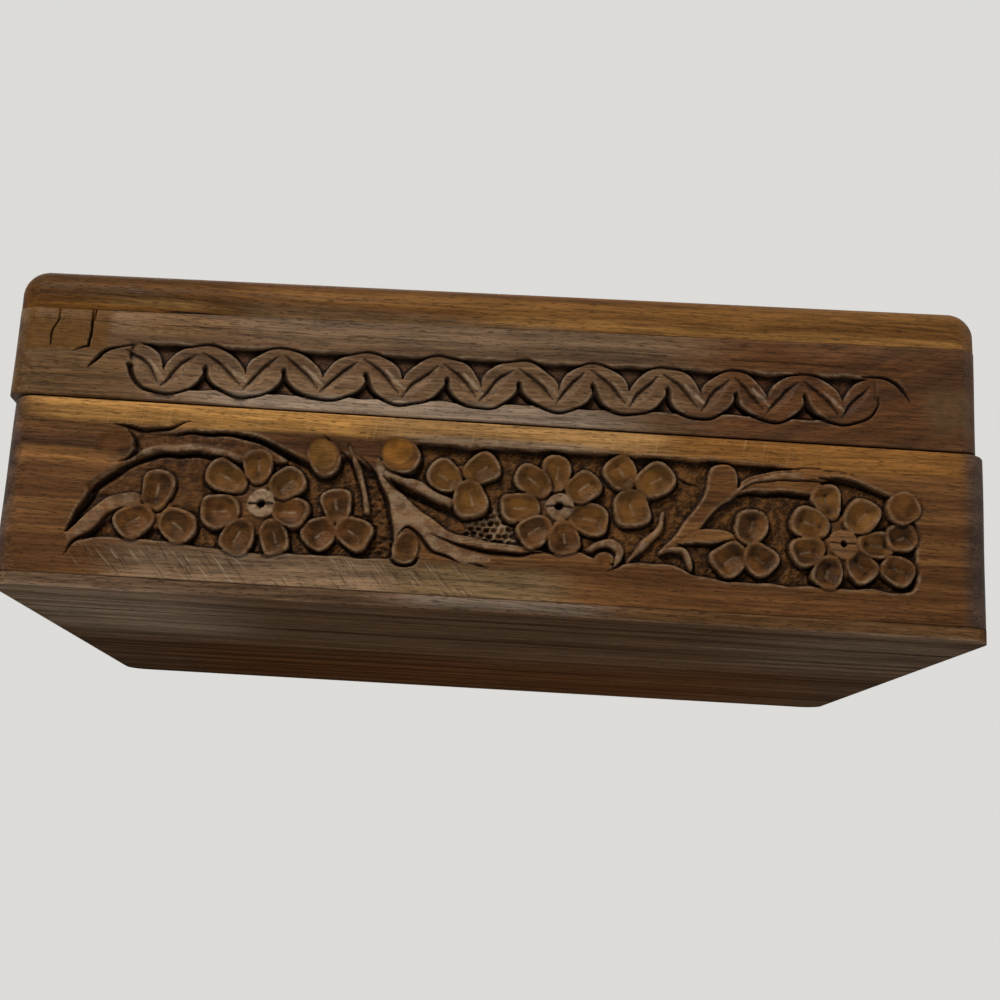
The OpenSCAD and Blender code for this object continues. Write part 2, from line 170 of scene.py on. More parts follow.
class Relief:
    """The carved face of a board as a height over each place, with masks for its colour, its painted shade
    and its pale wear with painted highlight.

    Height is in millimetres, 0 on the board's face and below 0 in the wood.
    """

    # How deep a hollow is painted in full shade, and how high an edge is painted in full pale wear and
    # highlight.
    SHADED_HOLLOW = 0.24
    RUBBED_AND_LIT_EDGE = 0.3

    def __init__(self, across: np.ndarray, up: np.ndarray) -> None:
        """Starts with a flat face.

        Args:
            across: X of each place, as a grid.
            up: Z of each place, as a grid.
        """
        self.x = across
        self.z = up
        self.height = np.zeros_like(across)
        self.ground = np.zeros_like(across)
        self.painted_shade = np.zeros_like(across)
        self.rim = np.zeros_like(across)
        self.dish = np.zeros_like(across)

    def window(self, low: Point, high: Point) -> Window:
        """Finds the rows and columns that cover a rectangle.

        Args:
            low: The rectangle's lowest corner.
            high: The rectangle's highest corner.

        Returns:
            A slice of rows and a slice of columns.
        """
        hit = (self.x >= low[0]) & (self.x <= high[0]) & (self.z >= low[1]) & (self.z <= high[1])
        rows = np.flatnonzero(hit.any(axis=1))
        columns = np.flatnonzero(hit.any(axis=0))
        if len(rows) == 0 or len(columns) == 0:
            return slice(0, 0), slice(0, 0)
        return slice(rows[0], rows[-1] + 1), slice(columns[0], columns[-1] + 1)

    def around(self, x: float, z: float, reach: float) -> tuple[Window, np.ndarray, np.ndarray]:
        """Finds the places round a middle.

        Args:
            x: X of the middle.
            z: Z of the middle.
            reach: How far from it the places may be on each axis.

        Returns:
            The window, and how far each place is from the middle in X and in Z.
        """
        area = self.window((x - reach, z - reach), (x + reach, z + reach))
        return area, self.x[area] - x, self.z[area] - z

    def beside(self, line: np.ndarray, margin: float) -> tuple[Window, np.ndarray, np.ndarray, np.ndarray]:
        """Measures each place near a line.

        Args:
            line: The points of the line.
            margin: How far from the line the places may be.

        Returns:
            The window, the distance, the side (1 left, -1 right) and the share of the length.
        """
        low, high = line.min(axis=0) - margin, line.max(axis=0) + margin
        area = self.window((low[0], low[1]), (high[0], high[1]))
        x, z = self.x[area], self.z[area]
        nearest = np.full(x.shape, np.inf)
        side = np.zeros_like(x)
        share = np.zeros_like(x)
        steps = np.diff(line, axis=0)
        lengths = np.linalg.norm(steps, axis=1)
        run = np.concatenate([[0.0], np.cumsum(lengths)]) / lengths.sum()
        for index, (start, step, length) in enumerate(zip(line, steps, lengths)):
            if length == 0:
                continue
            part = np.clip(((x - start[0]) * step[0] + (z - start[1]) * step[1]) / length**2, 0, 1)
            off_x, off_z = x - start[0] - part * step[0], z - start[1] - part * step[1]
            distance = np.hypot(off_x, off_z)
            closer = distance < nearest
            nearest[closer] = distance[closer]
            side[closer] = np.sign(step[0] * off_z - step[1] * off_x)[closer]
            share[closer] = (run[index] + part * (run[index + 1] - run[index]))[closer]
        return area, nearest, side, share

    def within(self, outline: np.ndarray, margin: float) -> tuple[Window, np.ndarray]:
        """Measures how far inside an outline each place is.

        Args:
            outline: The corners of the outline, open.
            margin: How far outside the outline the places may be.

        Returns:
            The window, and the distance to the outline, above 0 inside it.
        """
        closed = np.vstack([outline, outline[:1]])
        area, distance, _, _ = self.beside(closed, margin)
        x, z = self.x[area], self.z[area]
        inside = np.zeros(x.shape, bool)
        for start, end in zip(closed, closed[1:]):
            if start[1] == end[1]:
                continue
            crosses = (start[1] > z) != (end[1] > z)
            at = start[0] + (z - start[1]) * (end[0] - start[0]) / (end[1] - start[1])
            inside ^= crosses & (x < at)
        return area, np.where(inside, distance, -distance)

    def stand(self, area: Window, cover: np.ndarray, top: np.ndarray) -> None:
        """Leaves wood standing where cover is 1, up to the height top.

        Args:
            area: The window.
            cover: 0 to 1 over the window.
            top: The height of the wood that is left.
        """
        self.height[area] = self.height[area] * (1 - cover) + top * cover
        for name in MASKS:
            getattr(self, name)[area] *= 1 - cover

    def mark(self, name: str, area: Window, value: np.ndarray) -> None:
        """Raises one of the masks to a value wherever it is lower.

        Args:
            name: The name of the mask.
            area: The window.
            value: 0 to 1 over the window.
        """
        mask = getattr(self, name)
        mask[area] = np.maximum(mask[area], value)

    def stamp(self, punch: "Punch") -> None:
        """Punches the ground with small dents.

        Args:
            punch: The punch, with its spacing and the place where it is used.
        """
        random = np.random.default_rng(punch.seed)
        left, low = self.x.min(), self.z.min()
        columns = int((self.x.max() - left) / punch.across) + 2
        rows = int((self.z.max() - low) / punch.up) + 2
        odd = 0.5 * (np.arange(rows)[:, None] % 2)
        stray = random.uniform(-punch.stray, punch.stray, (2, rows, columns))
        at_x = left + (np.arange(columns)[None, :] + odd + stray[0]) * punch.across
        at_z = low + (np.arange(rows)[:, None] + stray[1]) * punch.up
        force = random.uniform(*punch.force, (rows, columns))
        row = ((self.z - low) / punch.up).astype(int)
        column = ((self.x - left) / punch.across).astype(int)
        dent = np.zeros_like(self.x)
        for row_step in (-1, 0, 1):
            for column_step in (-1, 0, 1):
                r = np.clip(row + row_step, 0, rows - 1)
                c = np.clip(column + column_step, 0, columns - 1)
                off_x = (self.x - at_x[r, c]) / (punch.reach * punch.across)
                off_z = (self.z - at_z[r, c]) / (punch.reach * punch.up)
                dent = np.maximum(dent, force[r, c] * np.clip(1 - off_x**2 - off_z**2, 0, 1))
        place = self.ground.copy()
        if punch.window is not None:
            left, low, right, high = punch.window
            inside_x = np.minimum(self.x - left, right - self.x)
            inside_z = np.minimum(self.z - low, high - self.z)
            place *= smooth(np.minimum(inside_x, inside_z) / punch.border)
        self.height -= punch.depth * dent * place
        # Painted highlight: where light is set, the ridges left between the dents are painted pale.
        self.rim = np.maximum(self.rim, punch.light * place * (1 - smooth(2.5 * dent)))

    def age(self, reach: float, pitch: float) -> None:
        """Paints shade into the hollows, and pale wear with painted highlight onto the raised edges.

        Args:
            reach: How far over the face a hollow or an edge is felt.
            pitch: The distance between two places.
        """
        steps = np.arange(-int(3 * reach / pitch), int(3 * reach / pitch) + 1)
        weights = np.exp(-0.5 * (steps * pitch / reach) ** 2)
        weights /= weights.sum()
        border = len(steps) // 2
        soft = np.pad(self.height, border, mode="edge")
        soft = sum(w * soft[k:k + self.height.shape[0], :] for k, w in enumerate(weights))
        soft = sum(w * soft[:, k:k + self.height.shape[1]] for k, w in enumerate(weights))
        hollow = soft - self.height
        # Painted shade: the deeper a place lies below its surroundings, the darker it is painted.
        self.painted_shade = np.maximum(self.painted_shade, smooth(hollow / self.SHADED_HOLLOW - 0.06))
        # Pale wear and painted highlight: kept out of the painted shade and laid on the raised edges.
        wear_and_highlight_outside_shade = self.rim * (1 - 0.7 * self.painted_shade)
        self.rim = np.maximum(wear_and_highlight_outside_shade, 0.6 * smooth(-hollow / self.RUBBED_AND_LIT_EDGE - 0.2))


@dataclass(frozen=True)
class Punch:
    """A small punch with which the ground is matted, and the rectangle where it is used.

    reach is the radius of a dent as a share of the spacing, and border is how far inside
    the rectangle the dents come up to their full depth.
    """

    across: float
    up: float
    depth: float
    seed: int
    stray: float = 0.32
    # light paints the ridges between the dents pale, as painted highlight.
    light: float = 0.0
    window: tuple[float, float, float, float] | None = None
    reach: float = 0.52
    border: float = 0.8
    force: Point = (0.35, 1.2)


@dataclass(frozen=True)
class SunkField:
    """Ground that is cut away inside an outline, for the punched background."""

    outline: tuple[Point, ...]
    depth: float = 1.25
    wall: float = 0.4

    def carve(self, relief: Relief) -> None:
        """Cuts the ground.

        Args:
            relief: The face to carve.
        """
        area, distance = relief.within(flowing_line(self.outline + self.outline[:1], 0.6), 1.0)
        cut = smooth(distance / self.wall + 0.15)
        relief.height[area] = np.minimum(relief.height[area], -self.depth * cut)
        relief.mark("ground", area, smooth(distance / self.wall))


@dataclass(frozen=True)
class Leaf:
    """A flat shape that stands in the ground."""

    outline: tuple[Point, ...]
    level: float = -0.1
    wall: float = 0.35
    # light paints the face pale, as painted highlight.
    light: float = 0.0
    matt: float = 0.0

    def carve(self, relief: Relief) -> None:
        """Leaves the shape standing.

        Args:
            relief: The face to carve.
        """
        area, distance = relief.within(flowing_line(self.outline + self.outline[:1], 0.6), 1.5)
        cover = smooth(1 + distance / self.wall)
        relief.stand(area, cover, np.full_like(distance, self.level))
        # Painted highlight: light paints the leaf's face pale.
        relief.mark("rim", area, self.light * cover)
        relief.mark("ground", area, self.matt * cover)


@dataclass(frozen=True)
class Stem:
    """A rounded rib that stands in the ground along a line."""

    line: Sequence[Point]
    half_widths: Sequence[float]
    level: float = -0.1
    wall: float = 0.3
    crown: float = 0.15

    def carve(self, relief: Relief) -> None:
        """Leaves the rib standing.

        Args:
            relief: The face to carve.
        """
        area, distance, _, share = relief.beside(flowing_line(self.line), max(self.half_widths) + 1)
        half = np.interp(share, np.linspace(0, 1, len(self.half_widths)), self.half_widths)
        cover = smooth(1 + (half - distance) / self.wall)
        top = self.level - self.crown * np.clip(distance / np.maximum(half, 0.05), 0, 1) ** 2
        relief.stand(area, cover, top)
        # Pale wear and painted highlight along the top of the rib.
        relief.mark("rim", area, 0.75 * smooth((half - distance) / self.wall + 0.5))


@dataclass(frozen=True)
class Gouge:
    """A cut of the gouge that swells and thins along a line.

    lean puts the deepest line nearer the left (above 0) or the right side of the cut. Shade is painted into
    the cut, darkest along its deepest line, and light paints a highlight there.
    """

    line: Sequence[Point]
    half_widths: Sequence[float]
    depth: float = 0.9
    lean: float = 0.0
    deepest: float = 1.85
    # How strongly shade is painted into the cut.
    painted_shade_weight: float = 1.0
    light: float = 0.0
    spread: float = 1.0

    def carve(self, relief: Relief) -> None:
        """Makes the cut.

        Args:
            relief: The face to carve.
        """
        widest = max(self.half_widths)
        area, distance, side, share = relief.beside(flowing_line(self.line), widest + 0.5)
        half = np.interp(share, np.linspace(0, 1, len(self.half_widths)), self.half_widths)
        across = distance * side / np.maximum(half, 0.02)
        rising = (across + 1) / (self.lean + 1 + 1e-6)
        falling = (1 - across) / (1 - self.lean + 1e-6)
        shape = np.clip(np.where(across < self.lean, rising, falling), 0, 1)
        cut = self.depth * np.minimum(1, 1.15 * half / widest) * shape**0.8
        face = relief.height[area]
        cutting = distance < half
        floor = np.maximum(face - cut, -self.deepest)
        relief.height[area] = np.where(cutting, np.minimum(face, floor), face)
        inner = np.where(cutting, smooth(1.3 + self.spread * (shape - 1)), 0)
        # Painted shade in the cut, and painted highlight where light is set.
        relief.mark("painted_shade", area, self.painted_shade_weight * inner)
        faded = relief.rim[area] * np.where(cutting, 1 - smooth(2 * shape), 1)
        relief.rim[area] = np.maximum(faded, self.light * inner)
        relief.dish[area] = np.where(cutting, 0, relief.dish[area])


@dataclass(frozen=True)
class Petal:
    """A petal hollowed like a shallow dish, with a raised edge and a cut vein along it.

    lip is where the raised edge starts as a share of the petal, and wall, vein_half and rim_half
    are the widths of its side, of the painted glint along its vein and of the pale line on its
    raised edge, part wear and part painted highlight. shadow is the place and the spread of the
    painted shadow line round it.
    """

    x: float
    z: float
    length: float
    width: float
    turn: float
    level: float = -0.15
    tilt: float = 0.12
    dish: float = 0.38
    vein: float = 1.0
    squareness: float = 2.5
    lip: float = 0.87
    taper: float = 0.16
    # light is how pale the raised edge is painted, part wear and part painted highlight.
    light: float = 0.75
    # outline is how strong the painted shadow line round the petal is.
    outline: float = 1.0
    honey: float = 1.0
    wall: float = 0.2
    vein_half: float = 0.13
    rim_half: float = 0.055
    shadow: Point = (0.2, 0.26)

    def carve(self, relief: Relief) -> None:
        """Leaves the petal standing, hollows it and cuts its vein.

        Args:
            relief: The face to carve.
        """
        reach = max(self.length, self.width) / 2 + 1.2
        area, off_x, off_z = relief.around(self.x, self.z, reach)
        cosine, sine = math.cos(math.radians(self.turn)), math.sin(math.radians(self.turn))
        along = (off_x * cosine + off_z * sine) / (self.length / 2)
        across = (off_z * cosine - off_x * sine) / (self.width / 2)
        across = across / np.clip(1 + self.taper * along, 0.3, None)
        power = self.squareness
        edge = (np.abs(along) ** power + np.abs(across) ** power) ** (1 / power)
        outside = (edge - 1) * min(self.length, self.width) / 2
        # Painted shadow: a dark line round the petal, strongest at its lower right.
        lower_right = 0.5 + 0.5 * (0.5 * off_x - 0.86 * off_z) / np.hypot(off_x, off_z).clip(0.1)
        shaded = 0.25 + 0.75 * smooth(1.4 * lower_right - 0.2)
        ring = self.outline * hump(outside, *self.shadow) * shaded
        relief.mark("painted_shade", area, ring)
        relief.height[area] = np.maximum(relief.height[area] - 0.3 * ring, -1.5)
        relief.rim[area] *= 1 - ring
        cover = smooth(1 - outside / self.wall)
        inner = np.clip(1 - edge / self.lip, 0, 1)
        bowl = 0.55 * smooth(inner / 0.2) + 0.45 * (1 - (1 - inner) ** 2)
        crease = np.clip(1 - np.abs(across) / 0.7, 0, 1) * smooth((0.75 - np.abs(along)) / 0.25)
        top = self.level + self.tilt * along - self.dish * bowl - 0.3 * self.vein * crease
        relief.stand(area, cover, np.minimum(top, -0.02))
        # Painted glint along the vein, and a pale line along the raised edge, part wear and part painted
        # highlight.
        glint = 1.3 * min(self.vein, 1) * hump(across * self.width / 2, 0.0, self.vein_half)
        glint = glint * smooth((0.4 - np.abs(along - 0.05)) / 0.1)
        broken = smooth(0.5 + 0.8 * np.sin(1.9 * relief.x[area] + 2.3 * relief.z[area] + self.turn))
        pale_wear_and_highlight = self.light * hump(edge, (1 + self.lip) / 2, self.rim_half) * (0.25 + 0.75 * broken)
        relief.mark("rim", area, cover * np.maximum(pale_wear_and_highlight, glint))
        hollow = 0.45 + 0.55 * smooth((1 - edge / self.lip) / 0.12)
        relief.mark("dish", area, self.honey * cover * hollow)


@dataclass(frozen=True)
class Web:
    """The round of wood, a little below the petals, that joins them round a flower's middle."""

    x: float
    z: float
    radius: float
    level: float = -0.55
    wall: float = 0.5

    def carve(self, relief: Relief) -> None:
        """Leaves the round standing.

        Args:
            relief: The face to carve.
        """
        area, off_x, off_z = relief.around(self.x, self.z, self.radius + 1)
        distance = np.hypot(off_x, off_z)
        cover = smooth(1 + (self.radius - distance) / self.wall)
        relief.stand(area, cover, np.full_like(distance, self.level))


@dataclass(frozen=True)
class Heart:
    """The round boss in the middle of a flower, with a hole drilled in it and a slit across."""

    x: float
    z: float
    radius: float = 2.0
    hole: float = 0.6
    light: float = 1.0
    level: float = -0.1
    wall: float = 0.25
    hole_depth: float = 1.5
    slit_half: float = 0.16
    slit_depth: float = 0.25

    def carve(self, relief: Relief) -> None:
        """Leaves the boss standing and drills it.

        Args:
            relief: The face to carve.
        """
        area, off_x, off_z = relief.around(self.x, self.z, self.radius + 1)
        distance = np.hypot(off_x, off_z)
        cover = smooth(1 + (self.radius - distance) / self.wall)
        relief.stand(area, cover, self.level - 0.1 * (distance / self.radius) ** 2)
        drilled = smooth((self.hole - distance) / 0.2 + 0.5)
        relief.height[area] -= self.hole_depth * drilled
        slit = hump(off_z, 0.0, self.slit_half) * (distance < self.radius)
        relief.height[area] -= self.slit_depth * slit
        # Pale wear and painted highlight on the boss, and painted shade in the drilled hole and the slit.
        relief.mark("rim", area, self.light * cover * (1 - drilled) * (1 - slit))
        relief.mark("painted_shade", area, np.maximum(drilled, slit))


class FloralPanel:
    """The traditional flower carving of the base's front: trefoils, flowers, buds and stems."""

    def fields(self) -> list[SunkField]:
        """Gives the two punched grounds.

        Returns:
            The left and the right ground.
        """
        left = (
            (-65.3, 8.6), (-63.6, 12.2), (-60.2, 17.1), (-56.5, 20.2), (-55.4, 23.0), (-53.5, 24.6),
            (-50.5, 24.9), (-46.4, 25.4), (-42.3, 25.5), (-38.1, 25.2), (-35.5, 24.3), (-33.0, 23.0),
            (-30.5, 22.0), (-28.5, 21.2), (-26.0, 21.5), (-24.2, 23.3), (-22.2, 22.6), (-19.2, 20.2),
            (-17.2, 16.5), (-16.2, 12.5), (-15.9, 7.6), (-20.0, 7.1), (-26.0, 7.1), (-33.0, 7.1),
            (-37.0, 6.9), (-43.0, 7.2), (-50.0, 7.8), (-57.0, 7.9), (-61.0, 8.0), (-63.5, 7.0),
        )
        right = (
            (-18.2, 20.0), (-15.0, 16.9), (-12.8, 15.0), (-10.0, 13.3), (-7.2, 11.9), (-4.4, 11.0),
            (0.0, 10.4), (5.0, 10.2), (9.3, 9.4), (12.0, 10.0), (14.0, 9.4), (17.0, 8.3), (20.0, 8.9),
            (24.0, 9.0), (28.0, 8.4), (31.0, 7.3), (36.0, 6.9), (49.0, 6.8), (57.0, 6.9), (63.9, 7.1),
            (64.2, 12.0), (64.0, 17.8), (60.5, 21.8), (58.6, 22.6), (56.5, 23.3), (53.8, 23.8),
            (51.0, 24.0), (49.4, 23.7), (46.0, 23.7), (43.0, 23.5), (40.0, 22.8), (37.6, 21.7),
            (37.2, 22.4), (39.5, 23.8), (44.0, 25.1), (46.5, 25.4), (41.0, 25.6), (33.0, 25.9),
            (20.0, 25.9), (9.0, 25.9), (-6.0, 25.6), (-13.0, 25.7), (-12.5, 23.0), (-13.6, 20.9),
            (-15.0, 20.7), (-16.5, 21.2),
        )
        return [SunkField(left), SunkField(right)]

    def stems(self) -> list[Stem | Leaf]:
        """Gives the stems and leaves that stand in the ground.

        Returns:
            The stems and leaves.
        """
        return [
            Leaf(((-56.5, 22.6), (-55, 24.4), (-51, 24.6), (-46, 24.9), (-42, 24.8), (-38.5, 24.4),
                  (-36, 23.4), (-33, 21.8), (-36, 21.6), (-41, 22.2), (-46, 22.6),
                  (-52, 22)), level=-0.4, matt=0.45),
            Leaf(((-62, 15.5), (-57.5, 19.2), (-53, 20.8), (-47, 21), (-42, 20.4), (-46, 19), (-46, 14),
                  (-52, 14), (-56, 14.6)), level=-0.85, wall=1.2, matt=0.55),
            # Painted highlight: this leaf's face is painted pale by light.
            Leaf(((-19, 23.2), (-17.6, 20.2), (-15, 17.3), (-12, 14.6), (-9, 12.7), (-6, 11.6), (-2, 10.9),
                  (2, 10.6), (5, 10.4), (0, 10), (-4, 10.4), (-7.5, 10.9), (-10.3, 11.7), (-6, 9.2),
                  (-1.5, 8), (-5, 7.6), (-9.5, 8.9), (-11.5, 10.8), (-13, 12.4), (-15.2, 12), (-16.2, 11),
                  (-16.6, 14), (-17.8, 18), (-19.3, 21.5)), level=-0.03, light=0.8),
            Stem(((-57.2, 20.9), (-53.5, 22.1), (-49.8, 22.6), (-46, 22.6), (-42.5, 22.1), (-39.7, 21.6)),
                 (0.4, 0.5, 0.5, 0.45, 0.4), level=-0.05),
            # Painted highlight: this leaf's face is painted pale by light.
            Leaf(((-65, 8.2), (-63.2, 10.6), (-61, 12.8), (-58.5, 14.4), (-55.5, 15), (-53.6, 13.9),
                  (-57, 12.9), (-60.3, 10.3), (-62, 8.6), (-64, 6.6)), level=-0.15, light=0.45),
            Stem(((-23.7, 24.6), (-22.8, 22.9), (-21.4, 18.8), (-20.3, 14.6)),
                 (0.12, 0.3, 0.3, 0.3), level=-0.15),
            Stem(((-17.6, 20.7), (-15.2, 19.9), (-12.5, 18.9), (-9.8, 17.5), (-7.6, 16.6)),
                 (0.55, 0.6, 0.65, 0.6, 0.5), level=-0.05),
            Leaf(((32.6, 24.6), (31.9, 22.7), (31.2, 19.9), (29.8, 17.7), (28.1, 15.2), (26.4, 12.9),
                  (24.6, 10.8), (29.2, 13.6), (32, 17.1), (33.9, 19), (36, 20.6), (36.4, 22.8),
                  (35.6, 24.8), (34.2, 25.3)), level=-0.2),
            Leaf(((27.2, 12.5), (30, 14.6), (33, 14.9), (36, 14.2), (36, 13.5), (32, 13)), level=-0.35),
            Stem(((35.6, 20.6), (37.6, 22), (40, 23.3), (43, 24.2), (46, 24.6)),
                 (0.2, 0.25, 0.3, 0.4, 0.5), level=-0.05),
            Leaf(((37, 21.2), (40, 22.6), (43, 23.4), (49.3, 23.4), (49.3, 21.6), (43, 21.8),
                  (39.5, 21.6)), level=-0.35),
            Stem(((25.2, 16.9), (24.4, 14.6), (22.9, 12.7), (20, 9.4)),
                 (0.15, 0.35, 0.45, 0.1), level=-0.45),
            Stem(((14, 10.6), (15.6, 11.7), (17.2, 11.9), (18.5, 10.6), (17.6, 8.3)),
                 (0.3, 0.5, 0.6, 0.5, 0.2), level=-0.45),
            Stem(((25, 11.2), (26.8, 11.5), (28.4, 11.2), (29.6, 8.6)),
                  (0.15, 0.35, 0.5, 0.2), level=-0.2),
        ]

    def cuts(self) -> list[Gouge]:
        """Gives the gouge cuts along the stems and buds.

        Returns:
            The cuts.
        """
        return [
            Gouge(((-64.9, 9.4), (-62.3, 14.1), (-60.3, 16.6), (-58.1, 18.6), (-55.9, 19.9), (-53.1, 21.1),
                   (-49.8, 21.7), (-46.4, 21.7), (-43.7, 21.3), (-40.2, 20.8)),
                  (0.15, 0.6, 0.8, 0.7, 0.55, 0.55, 0.5, 0.5, 0.3), 1.1, 0.6),
            Gouge(((-65.2, 4.9), (-64, 7), (-62, 8.5), (-60.3, 10.2), (-58.9, 11.7), (-57, 12.8),
                   (-55.1, 13.1)), (0.1, 0.35, 0.5, 0.4, 0.35, 0.3, 0.15), 0.9, 0.3),
            Gouge(((-50.6, 24.6), (-47, 25), (-42.3, 25.1), (-38.4, 24.8), (-35.8, 24), (-33.4, 22.8),
                   (-31, 21.7), (-29, 21.1)), (0.1, 0.4, 0.5, 0.45, 0.5, 0.55, 0.6, 0.4), 1.0, 0.5),
            Gouge(((-60, 25.7), (-55.9, 25), (-53.4, 25.2), (-51.2, 25.6), (-47.7, 26.9)),
                  (0.08, 0.5, 0.5, 0.35, 0.05), 0.9, 0.3),
            Gouge(((-57.7, 25), (-56.3, 23.9), (-55.9, 22.7), (-56.2, 21.5), (-57.6, 20.5), (-59.6, 20.1)),
                  (0.08, 0.35, 0.5, 0.55, 0.4, 0.06), 0.8, -0.3),
            Gouge(((-27.9, 26.1), (-26.9, 25.2), (-25.6, 23.6)), (0.05, 0.2, 0.15), 0.6),
            Gouge(((-25.6, 23.6), (-24.2, 23.2), (-23.2, 22.1), (-21.9, 17.9)),
                  (0.1, 0.28, 0.28, 0.1), 0.6),
            Gouge(((-22, 23.2), (-19.2, 19.9), (-17, 15.2), (-16.3, 10.2), (-16.4, 7.9)),
                  (0.08, 0.35, 0.4, 0.35, 0.2), 0.8, 0.4),
            Gouge(((-19.6, 23.5), (-18, 22.4), (-16.4, 21.2), (-15, 20.6), (-13.6, 20.8), (-12.7, 21.9),
                   (-12.6, 23.8)), (0.06, 0.25, 0.35, 0.45, 0.5, 0.4, 0.15), 0.85, -0.2),
            Gouge(((-18.2, 20.2), (-15.8, 18.2), (-13.4, 17.5), (-10.8, 16.3), (-8.3, 15.2), (-5.6, 14.4)),
                  (0.1, 0.5, 0.6, 0.65, 0.55, 0.3), 1.0, 0.5),
            Gouge(((-10.4, 11.6), (-8, 10.7), (-5.3, 9.8), (-2, 9.2), (3, 9.2), (5.3, 9.6), (8.6, 9.9)),
                  (0.08, 0.3, 0.45, 0.6, 0.55, 0.3, 0.08), 1.1, 0.4),
            Gouge(((-15.4, 11.4), (-13.9, 12.3), (-12.2, 11.4), (-11.1, 10.1), (-9.7, 8.7), (-5.6, 7.4)),
                  (0.1, 0.3, 0.35, 0.35, 0.35, 0.1), 0.8, 0.3),
            Gouge(((-4.4, 7.4), (-3, 7.1), (-1.4, 6.7)), (0.06, 0.25, 0.05), 0.5),
            Gouge(((-16.5, 7.6), (-15.6, 6.7), (-14.4, 6.4), (-13, 6.7), (-12, 7.9)),
                  (0.15, 0.35, 0.4, 0.35, 0.15), 0.8, -0.2),
            Gouge(((27.1, 23.1), (28.7, 22.2), (30.7, 22)), (0.12, 0.3, 0.1), 0.5),
            Gouge(((26.9, 12.4), (30.3, 12.5), (35.3, 13)), (0.1, 0.35, 0.3), 0.6, 0.2),
            Gouge(((36.8, 20.7), (39.6, 21.2), (43.7, 21.3), (48.4, 21.1)),
                  (0.2, 0.45, 0.55, 0.4), 0.9, 0.5),
            Gouge(((37.2, 21.5), (40, 22.9), (43, 23.5), (46, 23.7), (49.4, 23.6)),
                  (0.1, 0.16, 0.18, 0.12), 0.4),
            Gouge(((49.2, 24), (52, 23.9), (54.8, 23.5), (57.2, 22.8), (59.8, 21.9)),
                  (0.15, 0.45, 0.45, 0.35, 0.2), 0.8, 0.4),
            Gouge(((43, 25.3), (46, 25.5), (50, 25.3), (56, 24.7)), (0.15, 0.12, 0.1, 0.04), 0.25),
            Gouge(((-30, 21.3), (-29.1, 20.2), (-27.7, 19.6), (-26.2, 20), (-25.3, 21.5), (-25.2, 23.2)),
                  (0.25, 0.55, 0.7, 0.5, 0.3, 0.12), 0.9, -0.2),
            Gouge(((30.2, 9.6), (30.1, 8.7), (29.7, 7.8)), (0.2, 0.3, 0.1), 0.6),
            Gouge(((19.3, 10.6), (18.7, 8.8), (16.4, 7.1)), (0.15, 0.3, 0.06), 0.7),
            Gouge(((64.2, 17.6), (64.2, 12), (64.2, 8)), (0.1, 0.14, 0.1), 0.5),
        ]

    def petals(self) -> list[Petal]:
        """Gives the petals of the trefoils and flowers, each turned from the middle outwards.

        Returns:
            The petals.
        """
        trefoils = (
            (-52.2, 16, 5.5, 4.6, 80), (-55.4, 10.8, 5.3, 5.0, 215), (-48.7, 10.6, 5.4, 5.1, -30),
            (-25, 15.3, 4.7, 4.5, 100), (-27.4, 10.6, 4.6, 4.6, 225), (-22, 11, 5.3, 4.9, -30),
            (-8.9, 20.9, 5.1, 4.7, 150), (-3.1, 22.4, 5.2, 4.6, 35), (-4.7, 17.3, 5.2, 5.0, -70),
            (18.3, 23.1, 5.0, 4.9, 130), (23.8, 22.2, 5.7, 4.9, 35), (20.2, 17.4, 5.6, 5.3, -75),
            (38.7, 15.9, 5.2, 4.8, 80), (35.3, 10.4, 5.2, 5.0, 215), (40.3, 10.7, 4.9, 4.8, -35),
        )
        flowers = (
            (-42.1, 18.6, 5.9, 4.6, 150), (-42.7, 13.2, 5.6, 5.0, 190), (-39.6, 9.3, 5.2, 4.8, 240),
            (-34, 9.5, 5.2, 4.3, 290), (-31.8, 13.7, 5.2, 4.2, 350), (-32.6, 18.2, 5.0, 4.6, 40),
            (-37.4, 20.6, 5.0, 4.4, 100),
            (8.4, 22.4, 5.2, 4.3, 95), (4.8, 20.9, 5.4, 4.3, 150), (2.9, 16.6, 5.5, 4.6, 185),
            (5.3, 12.9, 4.9, 4.4, 220), (10, 12.1, 5.0, 4.9, 280), (13.8, 15.5, 5.6, 4.6, 345),
            (12.7, 20.4, 5.0, 4.6, 40),
            (50.4, 20.6, 5.0, 4.4, 110), (47.7, 16.9, 5.5, 4.6, 160), (47.2, 12.4, 5.0, 4.6, 200),
            (50.5, 9.2, 4.8, 4.3, 250), (55.9, 10.5, 5.1, 4.5, 310), (58.3, 14.2, 5.0, 3.9, 0),
            (55.9, 18.5, 5.5, 4.9, 50), (62.1, 15.6, 4.4, 4.2, 20), (61.6, 10.2, 4.8, 4.6, 340),
        )
        random = np.random.default_rng(11)
        inwards = 0.2
        petals = []
        for x, z, length, width, turn in trefoils + flowers:
            x -= inwards * math.cos(math.radians(turn))
            z -= inwards * math.sin(math.radians(turn))
            level, tilt = -0.15 - random.uniform(0, 0.25), random.uniform(0.0, 0.2)
            vein = random.uniform(0.7, 1.3) if x < 30 else random.uniform(1.4, 2.2)
            light = random.uniform(0.35, 1.0)
            size = (length + 2 * inwards, width)
            petals.append(Petal(x, z, *size, turn, level, tilt, vein=vein, light=light))
        return petals

    def webs(self) -> list[Web]:
        """Gives the rounds that join the petals of the flowers and the trefoils.

        Returns:
            The rounds.
        """
        flowers = [Web(-36.4, 14.6, 4.6), Web(9.1, 17.0, 4.4), Web(53.0, 13.9, 4.6)]
        middles = ((-52.1, 12.5), (-24.4, 12.3), (-5.6, 20.2), (20.8, 20.7), (38.1, 12.3))
        return flowers + [Web(x, z, 2.4) for x, z in middles]

